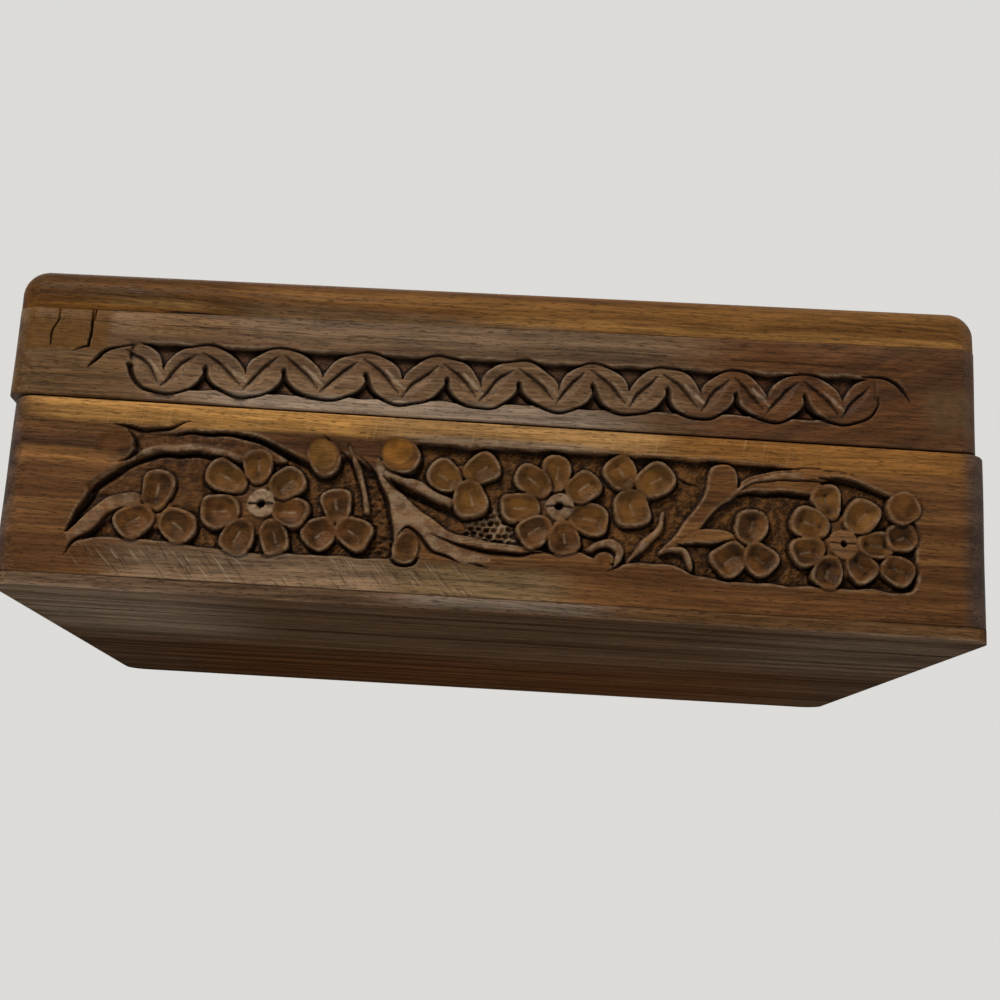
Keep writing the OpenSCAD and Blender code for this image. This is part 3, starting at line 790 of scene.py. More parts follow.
    def buds(self) -> list[Petal]:
        """Gives the round buds at the ends of the stems, each a dome and most with a raised edge painted
        pale, part wear and part painted highlight.

        Returns:
            The buds.
        """
        rims = (
            (-27.4, 22.4, 5.6, 4.7, 118), (-15.6, 23.4, 5.8, 4.9, 0), (-14.1, 9.2, 4.9, 3.9, 80),
            (62.3, 20.2, 5.3, 5.1, 45),
        )
        places = (
            (-59.4, 22.3, 5.1, 4.3, 0), (-27.6, 22.9, 4.9, 3.9, 118), (-16.2, 24.2, 4.9, 4.1, 0),
            (-13.9, 9.4, 3.8, 3.0, 80), (62.3, 20.3, 4.3, 4.0, 45), (16.2, 9.3, 2.6, 2.0, 20),
        )
        plain = {"level": -0.1, "tilt": 0.0, "squareness": 2.1, "taper": 0.0, "vein": 0.0}
        raised = {"dish": 0.0, "lip": 0.9, "light": 1.0, "honey": 0.5}
        standing = [Petal(*place, **raised, **plain) for place in rims]
        domed = {"dish": 0.12, "lip": 1.0, "light": 0.0, "outline": 0.0, "honey": 1.0}
        domes = [Petal(*place, **domed, **plain) for place in places]
        domes[0] = replace(domes[0], outline=0.35, honey=0.7, dish=0.2)
        return standing + domes

    def carve(self, relief: Relief) -> None:
        """Carves the panel in a carver's order: ground, leaves, cuts, petals and bosses.

        Args:
            relief: The face to carve.
        """
        hearts = (
            Heart(-36.4, 14.8, 2.05, light=1.2), Heart(9.1, 17.0, light=0.9),
            Heart(53, 13.9, 2.2, 0.5, 0.2),
        )
        steps = (self.fields(), self.stems(), self.cuts(), self.webs(), self.petals(), self.buds(), hearts)
        for step in steps:
            for piece in step:
                piece.carve(relief)
        for punch in (
            Punch(0.8, 0.5, 0.16, seed=3),
            # This punch paints the ridges between its dents pale by light, as painted highlight.
            Punch(1.15, 1.0, 0.5, seed=4, stray=0.12, light=1.5, window=(-5.5, 10.3, 3, 16.8)),
            Punch(1.9, 0.85, 0.35, seed=5, stray=0.06, window=(-21.5, 7, -15.5, 21)),
        ):
            relief.stamp(punch)


@dataclass(frozen=True)
class WaveBand:
    """The traditional wave of leaves that is cut along the lid's front rail.

    crests are the middles of its arches and troughs those of its bowls. Every height is Z
    where x is 0, from which the band climbs by slope.
    """

    crests: tuple[float, ...] = (-58.6, -47, -34.6, -22, -9.5, 2, 13.5, 25, 36, 47, 58.5)
    troughs: tuple[float, ...] = (-53.2, -40.7, -28.8, -16.1, -4.2, 8, 19.3, 30.5, 40.8, 52.8)
    slope: float = 0.0165
    depth: float = 1.15
    foot: float = 32.6
    middle: float = 36.0
    top: float = 40.0
    arch_spring: float = 35.2
    arch_height: float = 4.75
    bowl_spring: float = 36.5
    bowl_height: float = 4.1
    leaf_level: float = -0.12

    def lift(self, x: float | np.ndarray) -> float | np.ndarray:
        """Gives how much the band has climbed at a place, as it follows the slanting rail."""
        return self.slope * x

    def bow(self, span: Point, spring: float, height: float, angles: Point) -> list[Point]:
        """Gives points on one arch or bowl.

        Args:
            span: X of its left and its right end.
            spring: Z of its springing line where x is 0.
            height: Its height, below 0 for a bowl.
            angles: The first and the last angle in degrees.

        Returns:
            The points.
        """
        left, right = span
        points = []
        for angle in np.radians(np.linspace(*angles, 9)):
            x = (left + right) / 2 + (right - left) / 2 * math.cos(angle)
            points.append((x, spring + self.lift(x) + height * math.sin(angle)))
        return points

    def spans(self, middles: Sequence[float], ends: Sequence[float]) -> list[Point]:
        """Pairs each arch with the places beside it where it springs.

        Args:
            middles: The middles of the arches.
            ends: The places between them.

        Returns:
            The left and right end of each arch.
        """
        found = []
        for middle in middles:
            before = [end for end in ends if end < middle]
            after = [end for end in ends if end > middle]
            left = before[-1] if before else 2 * middle - after[0]
            right = after[0] if after else 2 * middle - before[-1]
            found.append((left, right))
        return found

    def carve(self, relief: Relief) -> None:
        """Carves the band.

        Args:
            relief: The face to carve.
        """
        x, level = relief.x, relief.z - self.lift(relief.x)
        arches = self.spans(self.crests, self.troughs)
        bowls = self.spans(self.troughs, self.crests)
        upper = np.full_like(x, self.arch_spring - 0.3)
        for left, right in arches:
            upper = np.maximum(upper, self.arch_spring + self.arch_height * round_arch(x, left, right))
        lower = np.full_like(x, self.bowl_spring + 0.1)
        for left, right in bowls:
            bowl = self.bowl_height * round_arch(x, left - 0.2, right + 0.2)
            lower = np.minimum(lower, self.bowl_spring - bowl)
        upper_ends = np.minimum(x - self.crests[0], self.crests[-1] - x)
        lower_ends = np.minimum(x - self.troughs[0], self.troughs[-1] - x)
        side_ends = np.where(level > self.middle, upper_ends, lower_ends)
        band = np.minimum(np.minimum(self.top - level, level - self.foot), side_ends)
        relief.height = np.minimum(relief.height, -self.depth * smooth(band / 0.4 + 0.1))
        relief.ground = 0.75 * smooth(band / 0.5)
        within = np.minimum(upper - level, level - lower)
        ends = smooth((x + 60) / 3) * smooth((61 - x) / 4)
        cover = smooth(1 + within / 0.25) * ends
        relief.stand((slice(None), slice(None)), cover, np.full_like(x, self.leaf_level))
        widths = (0.5, 0.45, 0.4, 0.38, 0.34, 0.3, 0.26, 0.2, 0.1)
        # The cuts round the bowls and over the arches are painted dark inside, as shade.
        for span in bowls:
            bow = self.bow(span, self.bowl_spring, -4.5, (178, -5))
            Gouge(bow, widths, 0.9, -0.3).carve(relief)
        for span in arches[1:-1]:
            bow = self.bow(span, self.arch_spring, 4.95, (140, 15))
            Gouge(bow, (0.1, 0.2, 0.28, 0.3, 0.1), 0.5).carve(relief)
        self.leaf_cuts(relief)
        self.end_curls(relief)

    def leaf_cuts(self, relief: Relief) -> None:
        """Cuts the vein of each leaf as a furrow with a steep upper and a sloping lower side, with painted
        shade in the furrows of the falling leaves and a painted highlight along the rising ones.

        Args:
            relief: The face to carve.
        """
        width, lean = 0.85, 0.78
        falling, rising = [(x, True) for x in self.crests], [(x, False) for x in self.troughs]
        turns = sorted(falling + rising)
        for (from_x, falls), (to_x, _) in zip(turns, turns[1:]):
            if falls:
                start, end = (from_x + 0.1, 39.2), (to_x - 0.4, 34.3)
            else:
                start, end = (from_x - 0.4, 33.7), (to_x - 1.9, 38.8)
            length = math.dist(start, end)
            run, climb = end[0] - start[0], end[1] - start[1]
            line = []
            for share in (0.0, 0.33, 0.67, 1.0):
                x = start[0] + run * share + width * lean * climb / length
                z = start[1] + climb * share - width * lean * run / length
                line.append((x, z + self.lift(x)))
            # Falling leaves get strong painted shade in the furrow, rising ones little shade and a painted
            # highlight.
            painted_shade_weight, light = (0.95, 0.0) if falls else (0.2, 0.95)
            widths = (0.3, width, width, 0.3)
            spread = 3.5 if falls else 6.0
            Gouge(line, widths, 0.6, lean, painted_shade_weight=painted_shade_weight, light=light, spread=spread).carve(relief)
            if falls:
                # A painted highlight on the plane beside each falling furrow.
                blade = [(place[0] + 1.5, place[1] + 0.3) for place in line[1:]]
                Gouge(blade, (0.2, 0.5, 0.2), 0.12, painted_shade_weight=0.0, light=0.8, spread=1.2).carve(relief)

    def end_curls(self, relief: Relief) -> None:
        """Cuts the thin curls at both ends of the band, and the cracks in the filler beside them.

        Args:
            relief: The face to carve.
        """
        for cut in (
            Gouge(((-64.9, 34.3), (-63.7, 36.2), (-62.6, 37.4), (-60.3, 38.2), (-58.5, 38.8)),
                  (0.12, 0.4, 0.35, 0.2, 0.15), 0.8),
            Gouge(((56, 41.1), (59, 41.1), (60.9, 40.4), (62.3, 39), (63.5, 37.2)),
                  (0.15, 0.25, 0.35, 0.4, 0.12), 0.8),
            Gouge(((-70, 43.6), (-70.3, 42), (-70.8, 40.6), (-71.1, 39), (-71.2, 37.2)),
                  (0.1, 0.13, 0.12, 0.12, 0.06), 0.6),
            Gouge(((-64.6, 43.8), (-64.9, 42), (-64.8, 40), (-65, 38)), (0.1, 0.2, 0.22, 0.2), 0.8),
            Gouge(((-65, 38), (-66.2, 37.4), (-67.4, 36.8)), (0.2, 0.15, 0.06), 0.6),
        ):
            cut.carve(relief)


class NodeSheet:
    """Places and joins the nodes of one material or node group."""

    def __init__(self, tree: bpy.types.NodeTree) -> None:
        """Takes the tree to work in."""
        self.tree = tree

    def add(self, kind: str, inputs: dict | None = None, **settings: object) -> bpy.types.Node:
        """Adds a node.

        Args:
            kind: Blender's name of the node's type.
            inputs: Values or sockets for its inputs, by name or number.
            settings: The node's own properties.

        Returns:
            The node.
        """
        made = self.tree.nodes.new(kind)
        for name, value in settings.items():
            setattr(made, name, value)
        for name, value in (inputs or {}).items():
            self.feed(made.inputs[name], value)
        return made

    def feed(self, socket: Socket, value: object) -> None:
        """Sets an input to a value, or joins it to a socket.

        Args:
            socket: The input.
            value: A number, a vector, a colour of three parts or an output socket.
        """
        if isinstance(value, bpy.types.NodeSocket):
            self.tree.links.new(value, socket)
        elif isinstance(value, tuple) and len(value) == 3 and socket.type == "RGBA":
            socket.default_value = (*value, 1.0)
        else:
            socket.default_value = value

    def math(self, operation: str, first: object, second: object = 0.0, third: object = 0.0) -> Socket:
        """Adds a Math node and gives its result."""
        return self.add("ShaderNodeMath", {0: first, 1: second, 2: third}, operation=operation).outputs[0]

    def ramp(self, value: object, low: object, high: object) -> Socket:
        """Gives 0 where a value is at low and 1 where it is at high, eased between."""
        inputs = {"Value": value, "From Min": low, "From Max": high}
        return self.add("ShaderNodeMapRange", inputs, interpolation_type="SMOOTHSTEP").outputs["Result"]

    def mix(self, factor: object, first: object, second: object, blend: str = "MIX") -> Socket:
        """Mixes two colours.

        Args:
            factor: How much of the second colour is taken.
            first: The first colour.
            second: The second colour.
            blend: Blender's name of the way they are mixed.

        Returns:
            The mixed colour.
        """
        made = self.add("ShaderNodeMix", data_type="RGBA", blend_type=blend)
        self.feed(made.inputs["Factor"], factor)
        self.feed(made.inputs[6], first)
        self.feed(made.inputs[7], second)
        return made.outputs[2]

    def noise(self, vector: Socket, scale: float, detail: float = 2.0, rough: float = 0.5) -> Socket:
        """Adds a noise and gives its value, which is mostly between 0.3 and 0.7."""
        inputs = {"Vector": vector, "Scale": scale, "Detail": detail, "Roughness": rough}
        return self.add("ShaderNodeTexNoise", inputs).outputs["Fac"]

    def stretched(self, vector: Socket, scale: Place) -> Socket:
        """Scales a vector on each axis."""
        return self.add("ShaderNodeMapping", {"Vector": vector, "Scale": scale}).outputs["Vector"]

    def turned(self, vector: Socket, angle: object, axis: str) -> Socket:
        """Turns a vector by an angle round an axis, such as Y_AXIS."""
        inputs = {"Vector": vector, "Angle": angle}
        return self.add("ShaderNodeVectorRotate", inputs, rotation_type=axis).outputs[0]

    def wander(self, vector: Socket, scale: Place, reach: object) -> Socket:
        """Moves each place to and fro by a noise.

        Args:
            vector: The places.
            scale: How close the noise is on each axis.
            reach: How far the noise moves a place.

        Returns:
            The moved places.
        """
        inputs = {"Vector": self.stretched(vector, scale), "Scale": 1.0, "Detail": 3.0}
        noise = self.add("ShaderNodeTexNoise", inputs).outputs["Color"]
        kind, half = "ShaderNodeVectorMath", (0.5, 0.5, 0.5)
        shift = self.add(kind, {0: noise, 1: half}, operation="SUBTRACT").outputs[0]
        scaled = self.add(kind, {0: shift, "Scale": reach}, operation="SCALE").outputs[0]
        return self.add(kind, {0: vector, 1: scaled}, operation="ADD").outputs[0]

    def blend(self, first: Socket, second: Socket, share: float) -> Socket:
        """Adds two values up, with a share of the first and the rest of the second."""
        return self.math("MULTIPLY_ADD", first, share, self.math("MULTIPLY", second, 1 - share))


def blank_material(name: str) -> tuple[bpy.types.Material, NodeSheet]:
    """Starts a material that has no nodes yet.

    Args:
        name: The material's name.

    Returns:
        The material, and the sheet of its nodes.
    """
    made = bpy.data.materials.new(name)
    made.use_nodes = True
    made.node_tree.nodes.clear()
    return made, NodeSheet(made.node_tree)


class NodeGroups:
    """The shared effects, each a node group that gives out only masks, colours and heights."""

    def __init__(self) -> None:
        """Builds every group once."""
        self.grain = self._grain()
        self.patch = self._patch()
        self.scratches = self._scratches()

    def _new(self, name: str, inputs: dict[str, str], outputs: dict[str, str]) -> NodeSheet:
        """Starts a group with named sockets.

        Args:
            name: The group's name.
            inputs: The kind of each input socket by name.
            outputs: The kind of each output socket by name.

        Returns:
            The sheet of the group's tree.
        """
        tree = bpy.data.node_groups.new(name, "ShaderNodeTree")
        for socket, kind in inputs.items():
            tree.interface.new_socket(socket, in_out="INPUT", socket_type=kind)
        for socket, kind in outputs.items():
            tree.interface.new_socket(socket, in_out="OUTPUT", socket_type=kind)
        return NodeSheet(tree)

    def _grain(self) -> bpy.types.NodeTree:
        """Makes wood grain along X: broad bands, streaks, fine fibres and short dark pores.

        Returns:
            The group's tree.
        """
        value, vector = "NodeSocketFloat", "NodeSocketVector"
        sheet = self._new(
            "wood_grain",
            {"Vector": vector, "Waviness": value},
            {"Band": value, "Streak": value, "Fibre": value, "Pore": value, "Height": value},
        )
        given = sheet.add("NodeGroupInput").outputs
        bent = sheet.wander(given["Vector"], (9, 30, 30), given["Waviness"])
        band = sheet.noise(sheet.stretched(bent, (3, 60, 60)), 1.0, 2.0)
        streak = sheet.noise(sheet.stretched(bent, (10, 330, 330)), 1.0, 4.0, 0.6)
        fibre = sheet.noise(sheet.stretched(bent, (110, 2600, 2600)), 1.0, 2.0, 0.6)
        pore = sheet.ramp(sheet.noise(sheet.stretched(bent, (620, 7000, 7000)), 1.0, 1.0), 0.6, 0.7)
        rough = sheet.blend(fibre, streak, 0.5)
        outputs = {
            "Band": sheet.ramp(band, 0.35, 0.65), "Streak": sheet.ramp(streak, 0.36, 0.64),
            "Fibre": sheet.ramp(fibre, 0.3, 0.7),
            "Pore": pore, "Height": sheet.math("SUBTRACT", rough, sheet.math("MULTIPLY", pore, 0.8)),
        }
        sheet.add("NodeGroupOutput", outputs)
        return sheet.tree

    def _patch(self) -> bpy.types.NodeTree:
        """Makes a soft-edged mask over a box of X and Z, with an edge that wanders a little.

        Returns:
            The group's tree.
        """
        value, vector = "NodeSocketFloat", "NodeSocketVector"
        names = ("Left", "Right", "Low", "High", "Fade", "Softness", "Wander")
        sheet = self._new("patch", {"Vector": vector, **{name: value for name in names}}, {"Mask": value})
        given = sheet.add("NodeGroupInput").outputs
        moved = sheet.wander(given["Vector"], (40, 40, 200), given["Wander"])
        parts = sheet.add("ShaderNodeSeparateXYZ", {0: moved}).outputs
        mask = 1.0
        for part, low, high, soft in (
            (parts["X"], given["Left"], given["Right"], given["Fade"]),
            (parts["Z"], given["Low"], given["High"], given["Softness"]),
        ):
            rising = sheet.ramp(part, sheet.math("SUBTRACT", low, soft), sheet.math("ADD", low, soft))
            falling = sheet.ramp(part, sheet.math("ADD", high, soft), sheet.math("SUBTRACT", high, soft))
            mask = sheet.math("MULTIPLY", mask, sheet.math("MULTIPLY", rising, falling))
        sheet.add("NodeGroupOutput", {"Mask": mask})
        return sheet.tree

    def _scratches(self) -> bpy.types.NodeTree:
        """Makes the fine slanting scratches left by coarse sanding.

        Returns:
            The group's tree.
        """
        value, vector = "NodeSocketFloat", "NodeSocketVector"
        sheet = self._new("scratches", {"Vector": vector, "Turn": value}, {"Mask": value})
        given = sheet.add("NodeGroupInput").outputs
        turned = sheet.turned(given["Vector"], given["Turn"], "Y_AXIS")
        lines = sheet.noise(sheet.stretched(turned, (190, 100, 3200)), 1.0, 2.0, 0.6)
        where = sheet.ramp(sheet.noise(given["Vector"], 160.0, 2.0), 0.35, 0.6)
        sheet.add("NodeGroupOutput", {"Mask": sheet.math("MULTIPLY", sheet.ramp(lines, 0.57, 0.68), where)})
        return sheet.tree


@dataclass(frozen=True)
class Patch:
    """A place on a board whose colour differs, as a box in X and Z in millimetres.

    softness and fade are how softly it ends in Z and in X. filler lies over the grain, and
    plan reads low and high as Y, for a mark on the underside.
    """

    colour: Colour
    left: float
    right: float
    low: float
    high: float
    softness: float = 1.0
    wander: float = 3.0
    strength: float = 1.0
    filler: bool = False
    plan: bool = False
    fade: float = 5.0


@dataclass(frozen=True)
class Marks:
    """Fine marks of sanding or brushing inside a patch, turned by an angle in degrees."""

    patch: Patch
    turn: float
    relief: float = 1.0


@dataclass
class Coat:
    """A material as far as it is painted: its sheet and places, colour, roughness and height."""

    sheet: NodeSheet
    groups: NodeGroups
    place: Socket
    colour: Socket
    rough: Socket
    height: Socket

    def lay(self, factor: object, colour: object, blend: str = "MIX") -> None:
        """Mixes a colour over what is there."""
        self.colour = self.sheet.mix(factor, self.colour, colour, blend)

    def mask(self, patch: Patch) -> Socket:
        """Adds the mask of a patch.

        Args:
            patch: The patch.

        Returns:
            The mask, up to the patch's strength.
        """
        place = self.place
        if patch.plan:
            parts = self.sheet.add("ShaderNodeSeparateXYZ", {0: place}).outputs
            place = self.sheet.add("ShaderNodeCombineXYZ", {0: parts["X"], 2: parts["Y"]}).outputs[0]
        inputs = {"Vector": place}
        for name in ("Left", "Right", "Low", "High", "Softness", "Wander", "Fade"):
            inputs[name] = getattr(patch, name.lower()) * MM
        made = self.sheet.add("ShaderNodeGroup", inputs, node_tree=self.groups.patch)
        return self.sheet.math("MULTIPLY", made.outputs["Mask"], patch.strength)


@dataclass(frozen=True)
class WoodFinish:
    """The finish of one board: its colours, its grain and the places that differ, and on a carved board its
    painted shade and painted highlights.
    """

    name: str
    pale: Colour
    middle: Colour
    deep: Colour
    pore: Colour = (0.010, 0.005, 0.003)
    axis: GrainAxis = GrainAxis.ALONG_X
    waviness: float = 0.004
    roughness: float = 0.42
    gloss: float = 0.05
    bump: float = 0.0003
    patches: tuple[Patch, ...] = ()
    marks: tuple[Marks, ...] = ()
    glow: tuple[Patch, ...] = ()
    swirl: Patch | None = None
    carved: bool = False
    # Near-black of the painted shade, and the pale colour of wear with painted highlight.
    painted_shade: Colour = (0.006, 0.003, 0.002)
    pale_wear_and_highlight: Colour = (0.25, 0.175, 0.11)
    ground: Colour = (0.070, 0.030, 0.0085)
    wax: Colour = (0.050, 0.020, 0.005)

    def material(self, groups: NodeGroups) -> bpy.types.Material:
        """Builds the material.

        Args:
            groups: The shared effects.

        Returns:
            The material.
        """
        made, sheet = blank_material(self.name)
        place = sheet.add("ShaderNodeTexCoord").outputs["Object"]
        along = sheet.turned(place, math.pi / 2, "Z_AXIS") if self.axis is GrainAxis.ALONG_Y else place
        inputs = {"Vector": along, "Waviness": self.waviness}
        grain = sheet.add("ShaderNodeGroup", inputs, node_tree=groups.grain).outputs
        tone = sheet.blend(grain["Streak"], grain["Band"], 0.6)
        colour = sheet.mix(sheet.ramp(tone, 0.0, 0.5), self.deep, self.middle)
        colour = sheet.mix(sheet.ramp(tone, 0.5, 1.0), colour, self.pale)
        rough = sheet.math("MULTIPLY_ADD", grain["Fibre"], 0.16, self.roughness)
        coat = Coat(sheet, groups, place, colour, rough, grain["Height"])
        self.grow(coat, grain["Streak"])
        fine = sheet.math("MULTIPLY_ADD", grain["Fibre"], 0.6, 0.7)
        fine_colour = sheet.add("ShaderNodeCombineColor", {0: fine, 1: fine, 2: fine}).outputs[0]
        coat.lay(1.0, fine_colour, "MULTIPLY")
        coat.lay(sheet.math("MULTIPLY", grain["Pore"], 0.5), self.pore)
        self.wear(coat)
        if self.carved:
            self.paint_carving(coat)
        bump = sheet.add("ShaderNodeBump", {"Height": coat.height, "Strength": 0.6, "Distance": self.bump})
        inputs = {"Base Color": coat.colour, "Roughness": coat.rough, "Normal": bump.outputs[0]}
        shader = sheet.add("ShaderNodeBsdfPrincipled", inputs)
        shader.inputs["Specular IOR Level"].default_value = self.gloss
        sheet.add("ShaderNodeOutputMaterial", {"Surface": shader.outputs[0]})
        return made

    def grow(self, coat: Coat, streak: Socket) -> None:
        """Paints what differs in the wood itself: its pale and dark places and its swirl.

        Args:
            coat: The material so far.
            streak: The streaks of the grain.
        """
        for patch in self.patches:
            if not patch.filler:
                mask = coat.mask(patch)
                coat.lay(mask, coat.sheet.mix(streak, shade(patch.colour, 0.6), shade(patch.colour, 1.3)))
        if self.swirl is None:
            return
        turned = coat.sheet.turned(coat.place, math.radians(24), "Y_AXIS")
        inputs = {"Vector": turned, "Waviness": 0.012}
        curl = coat.sheet.add("ShaderNodeGroup", inputs, node_tree=coat.groups.grain).outputs
        tone = coat.sheet.blend(curl["Streak"], curl["Band"], 0.7)
        curled = coat.sheet.mix(tone, self.deep, shade(self.swirl.colour, 1.9))
        coat.lay(coat.mask(self.swirl), curled)

    def wear(self, coat: Coat) -> None:
        """Paints what lies on the wood: the filler and the marks of sanding.

        Args:
            coat: The material so far.
        """
        sheet = coat.sheet
        for patch in self.patches:
            if patch.filler:
                cloud = sheet.ramp(sheet.noise(coat.place, 700.0, 3.0), 0.3, 0.7)
                putty = sheet.mix(cloud, shade(patch.colour, 0.75), patch.colour)
                coat.lay(coat.mask(patch), putty)
        for marks in self.marks:
            inputs = {"Vector": coat.place, "Turn": math.radians(marks.turn)}
            lines = sheet.add("ShaderNodeGroup", inputs, node_tree=coat.groups.scratches).outputs["Mask"]
            mask = sheet.math("MULTIPLY", lines, coat.mask(marks.patch))
            coat.lay(mask, marks.patch.colour)
            sunk = sheet.math("MULTIPLY", mask, marks.relief)
            coat.height = sheet.math("SUBTRACT", coat.height, sunk)

    def paint_carving(self, coat: Coat) -> None:
        """Paints the carving: its matted ground, the wax in its dishes, pale wear and painted highlights on
        its edges, and painted shade in its hollows.

        Args:
            coat: The material so far.
        """
        sheet = coat.sheet
        ground, painted_shade, rim, dish = (
            sheet.add("ShaderNodeAttribute", attribute_name=name).outputs["Fac"] for name in MASKS
        )
        blotch = sheet.ramp(sheet.noise(coat.place, 900.0, 3.0, 0.6), 0.35, 0.65)
        soil = sheet.mix(blotch, shade(self.ground, 0.2), shade(self.ground, 1.6))
        coat.lay(sheet.math("MULTIPLY", ground, 0.8), soil)
        cloud = sheet.ramp(sheet.noise(coat.place, 260.0, 2.0, 0.6), 0.35, 0.65)
        honey = sheet.mix(cloud, shade(self.wax, 0.35), shade(self.wax, 2.1))
        coat.lay(sheet.math("MULTIPLY", dish, 0.72), honey)
        for patch in self.glow:
            mask = sheet.math("MULTIPLY", dish, coat.mask(patch))
            coat.lay(mask, sheet.mix(cloud, shade(patch.colour, 0.5), patch.colour))
        # Pale wear and painted highlight.
        patchy = sheet.math("MULTIPLY", rim, sheet.math("MULTIPLY_ADD", blotch, 0.6, 0.2))
        coat.lay(sheet.math("MINIMUM", patchy, 0.9), self.pale_wear_and_highlight)
        # Painted shade in the hollows and cuts.
        coat.lay(sheet.math("MULTIPLY", painted_shade, 0.92), self.painted_shade)
        coat.rough = sheet.math("SUBTRACT", coat.rough, sheet.math("MULTIPLY", dish, 0.05))
        grit = sheet.math("MULTIPLY", sheet.math("MULTIPLY", blotch, ground), 1.2)
        coat.height = sheet.math("ADD", coat.height, grit)


@dataclass(frozen=True)
class BrassFinish:
    """Old brass, dulled and darker in patches."""

    name: str
    bright: Colour = (0.62, 0.44, 0.17)
    dull: Colour = (0.25, 0.16, 0.06)
    roughness: float = 0.35
    bump: float = 0.0001

    def material(self, groups: NodeGroups) -> bpy.types.Material:
        """Builds the material.

        Args:
            groups: The shared effects.

        Returns:
            The material.
        """
        made, sheet = blank_material(self.name)
        place = sheet.add("ShaderNodeTexCoord").outputs["Object"]
        cloud = sheet.ramp(sheet.noise(place, 260, 4.0, 0.6), 0.35, 0.65)
        colour = sheet.mix(cloud, self.dull, self.bright)
        rough = sheet.math("MULTIPLY_ADD", cloud, -0.12, self.roughness + 0.12)
        marks = sheet.add("ShaderNodeGroup", {"Vector": place}, node_tree=groups.scratches)
        inputs = {"Height": marks.outputs["Mask"], "Strength": 0.2, "Distance": self.bump}
        bump = sheet.add("ShaderNodeBump", inputs)
        inputs = {"Base Color": colour, "Roughness": rough, "Normal": bump.outputs[0]}
        shader = sheet.add("ShaderNodeBsdfPrincipled", inputs)
        shader.inputs["Metallic"].default_value = 1.0
        sheet.add("ShaderNodeOutputMaterial", {"Surface": shader.outputs[0]})
        return made


def deselect_all() -> None:
    """Leaves nothing selected, so that an operator acts only on what is selected next."""
    bpy.ops.object.select_all(action="DESELECT")


def pick(thing: bpy.types.Object) -> None:
    """Makes one object the selected and active one.

    Args:
        thing: The object.
    """
    deselect_all()
    thing.select_set(True)
    bpy.context.view_layer.objects.active = thing


def report(piece: bpy.types.Object) -> None:
    """Writes a piece's size to the log."""
    size = [round(side / MM, 1) for side in piece.dimensions]
    LOG.info("%s: %d faces, %s mm", piece.name, len(piece.data.polygons), size)


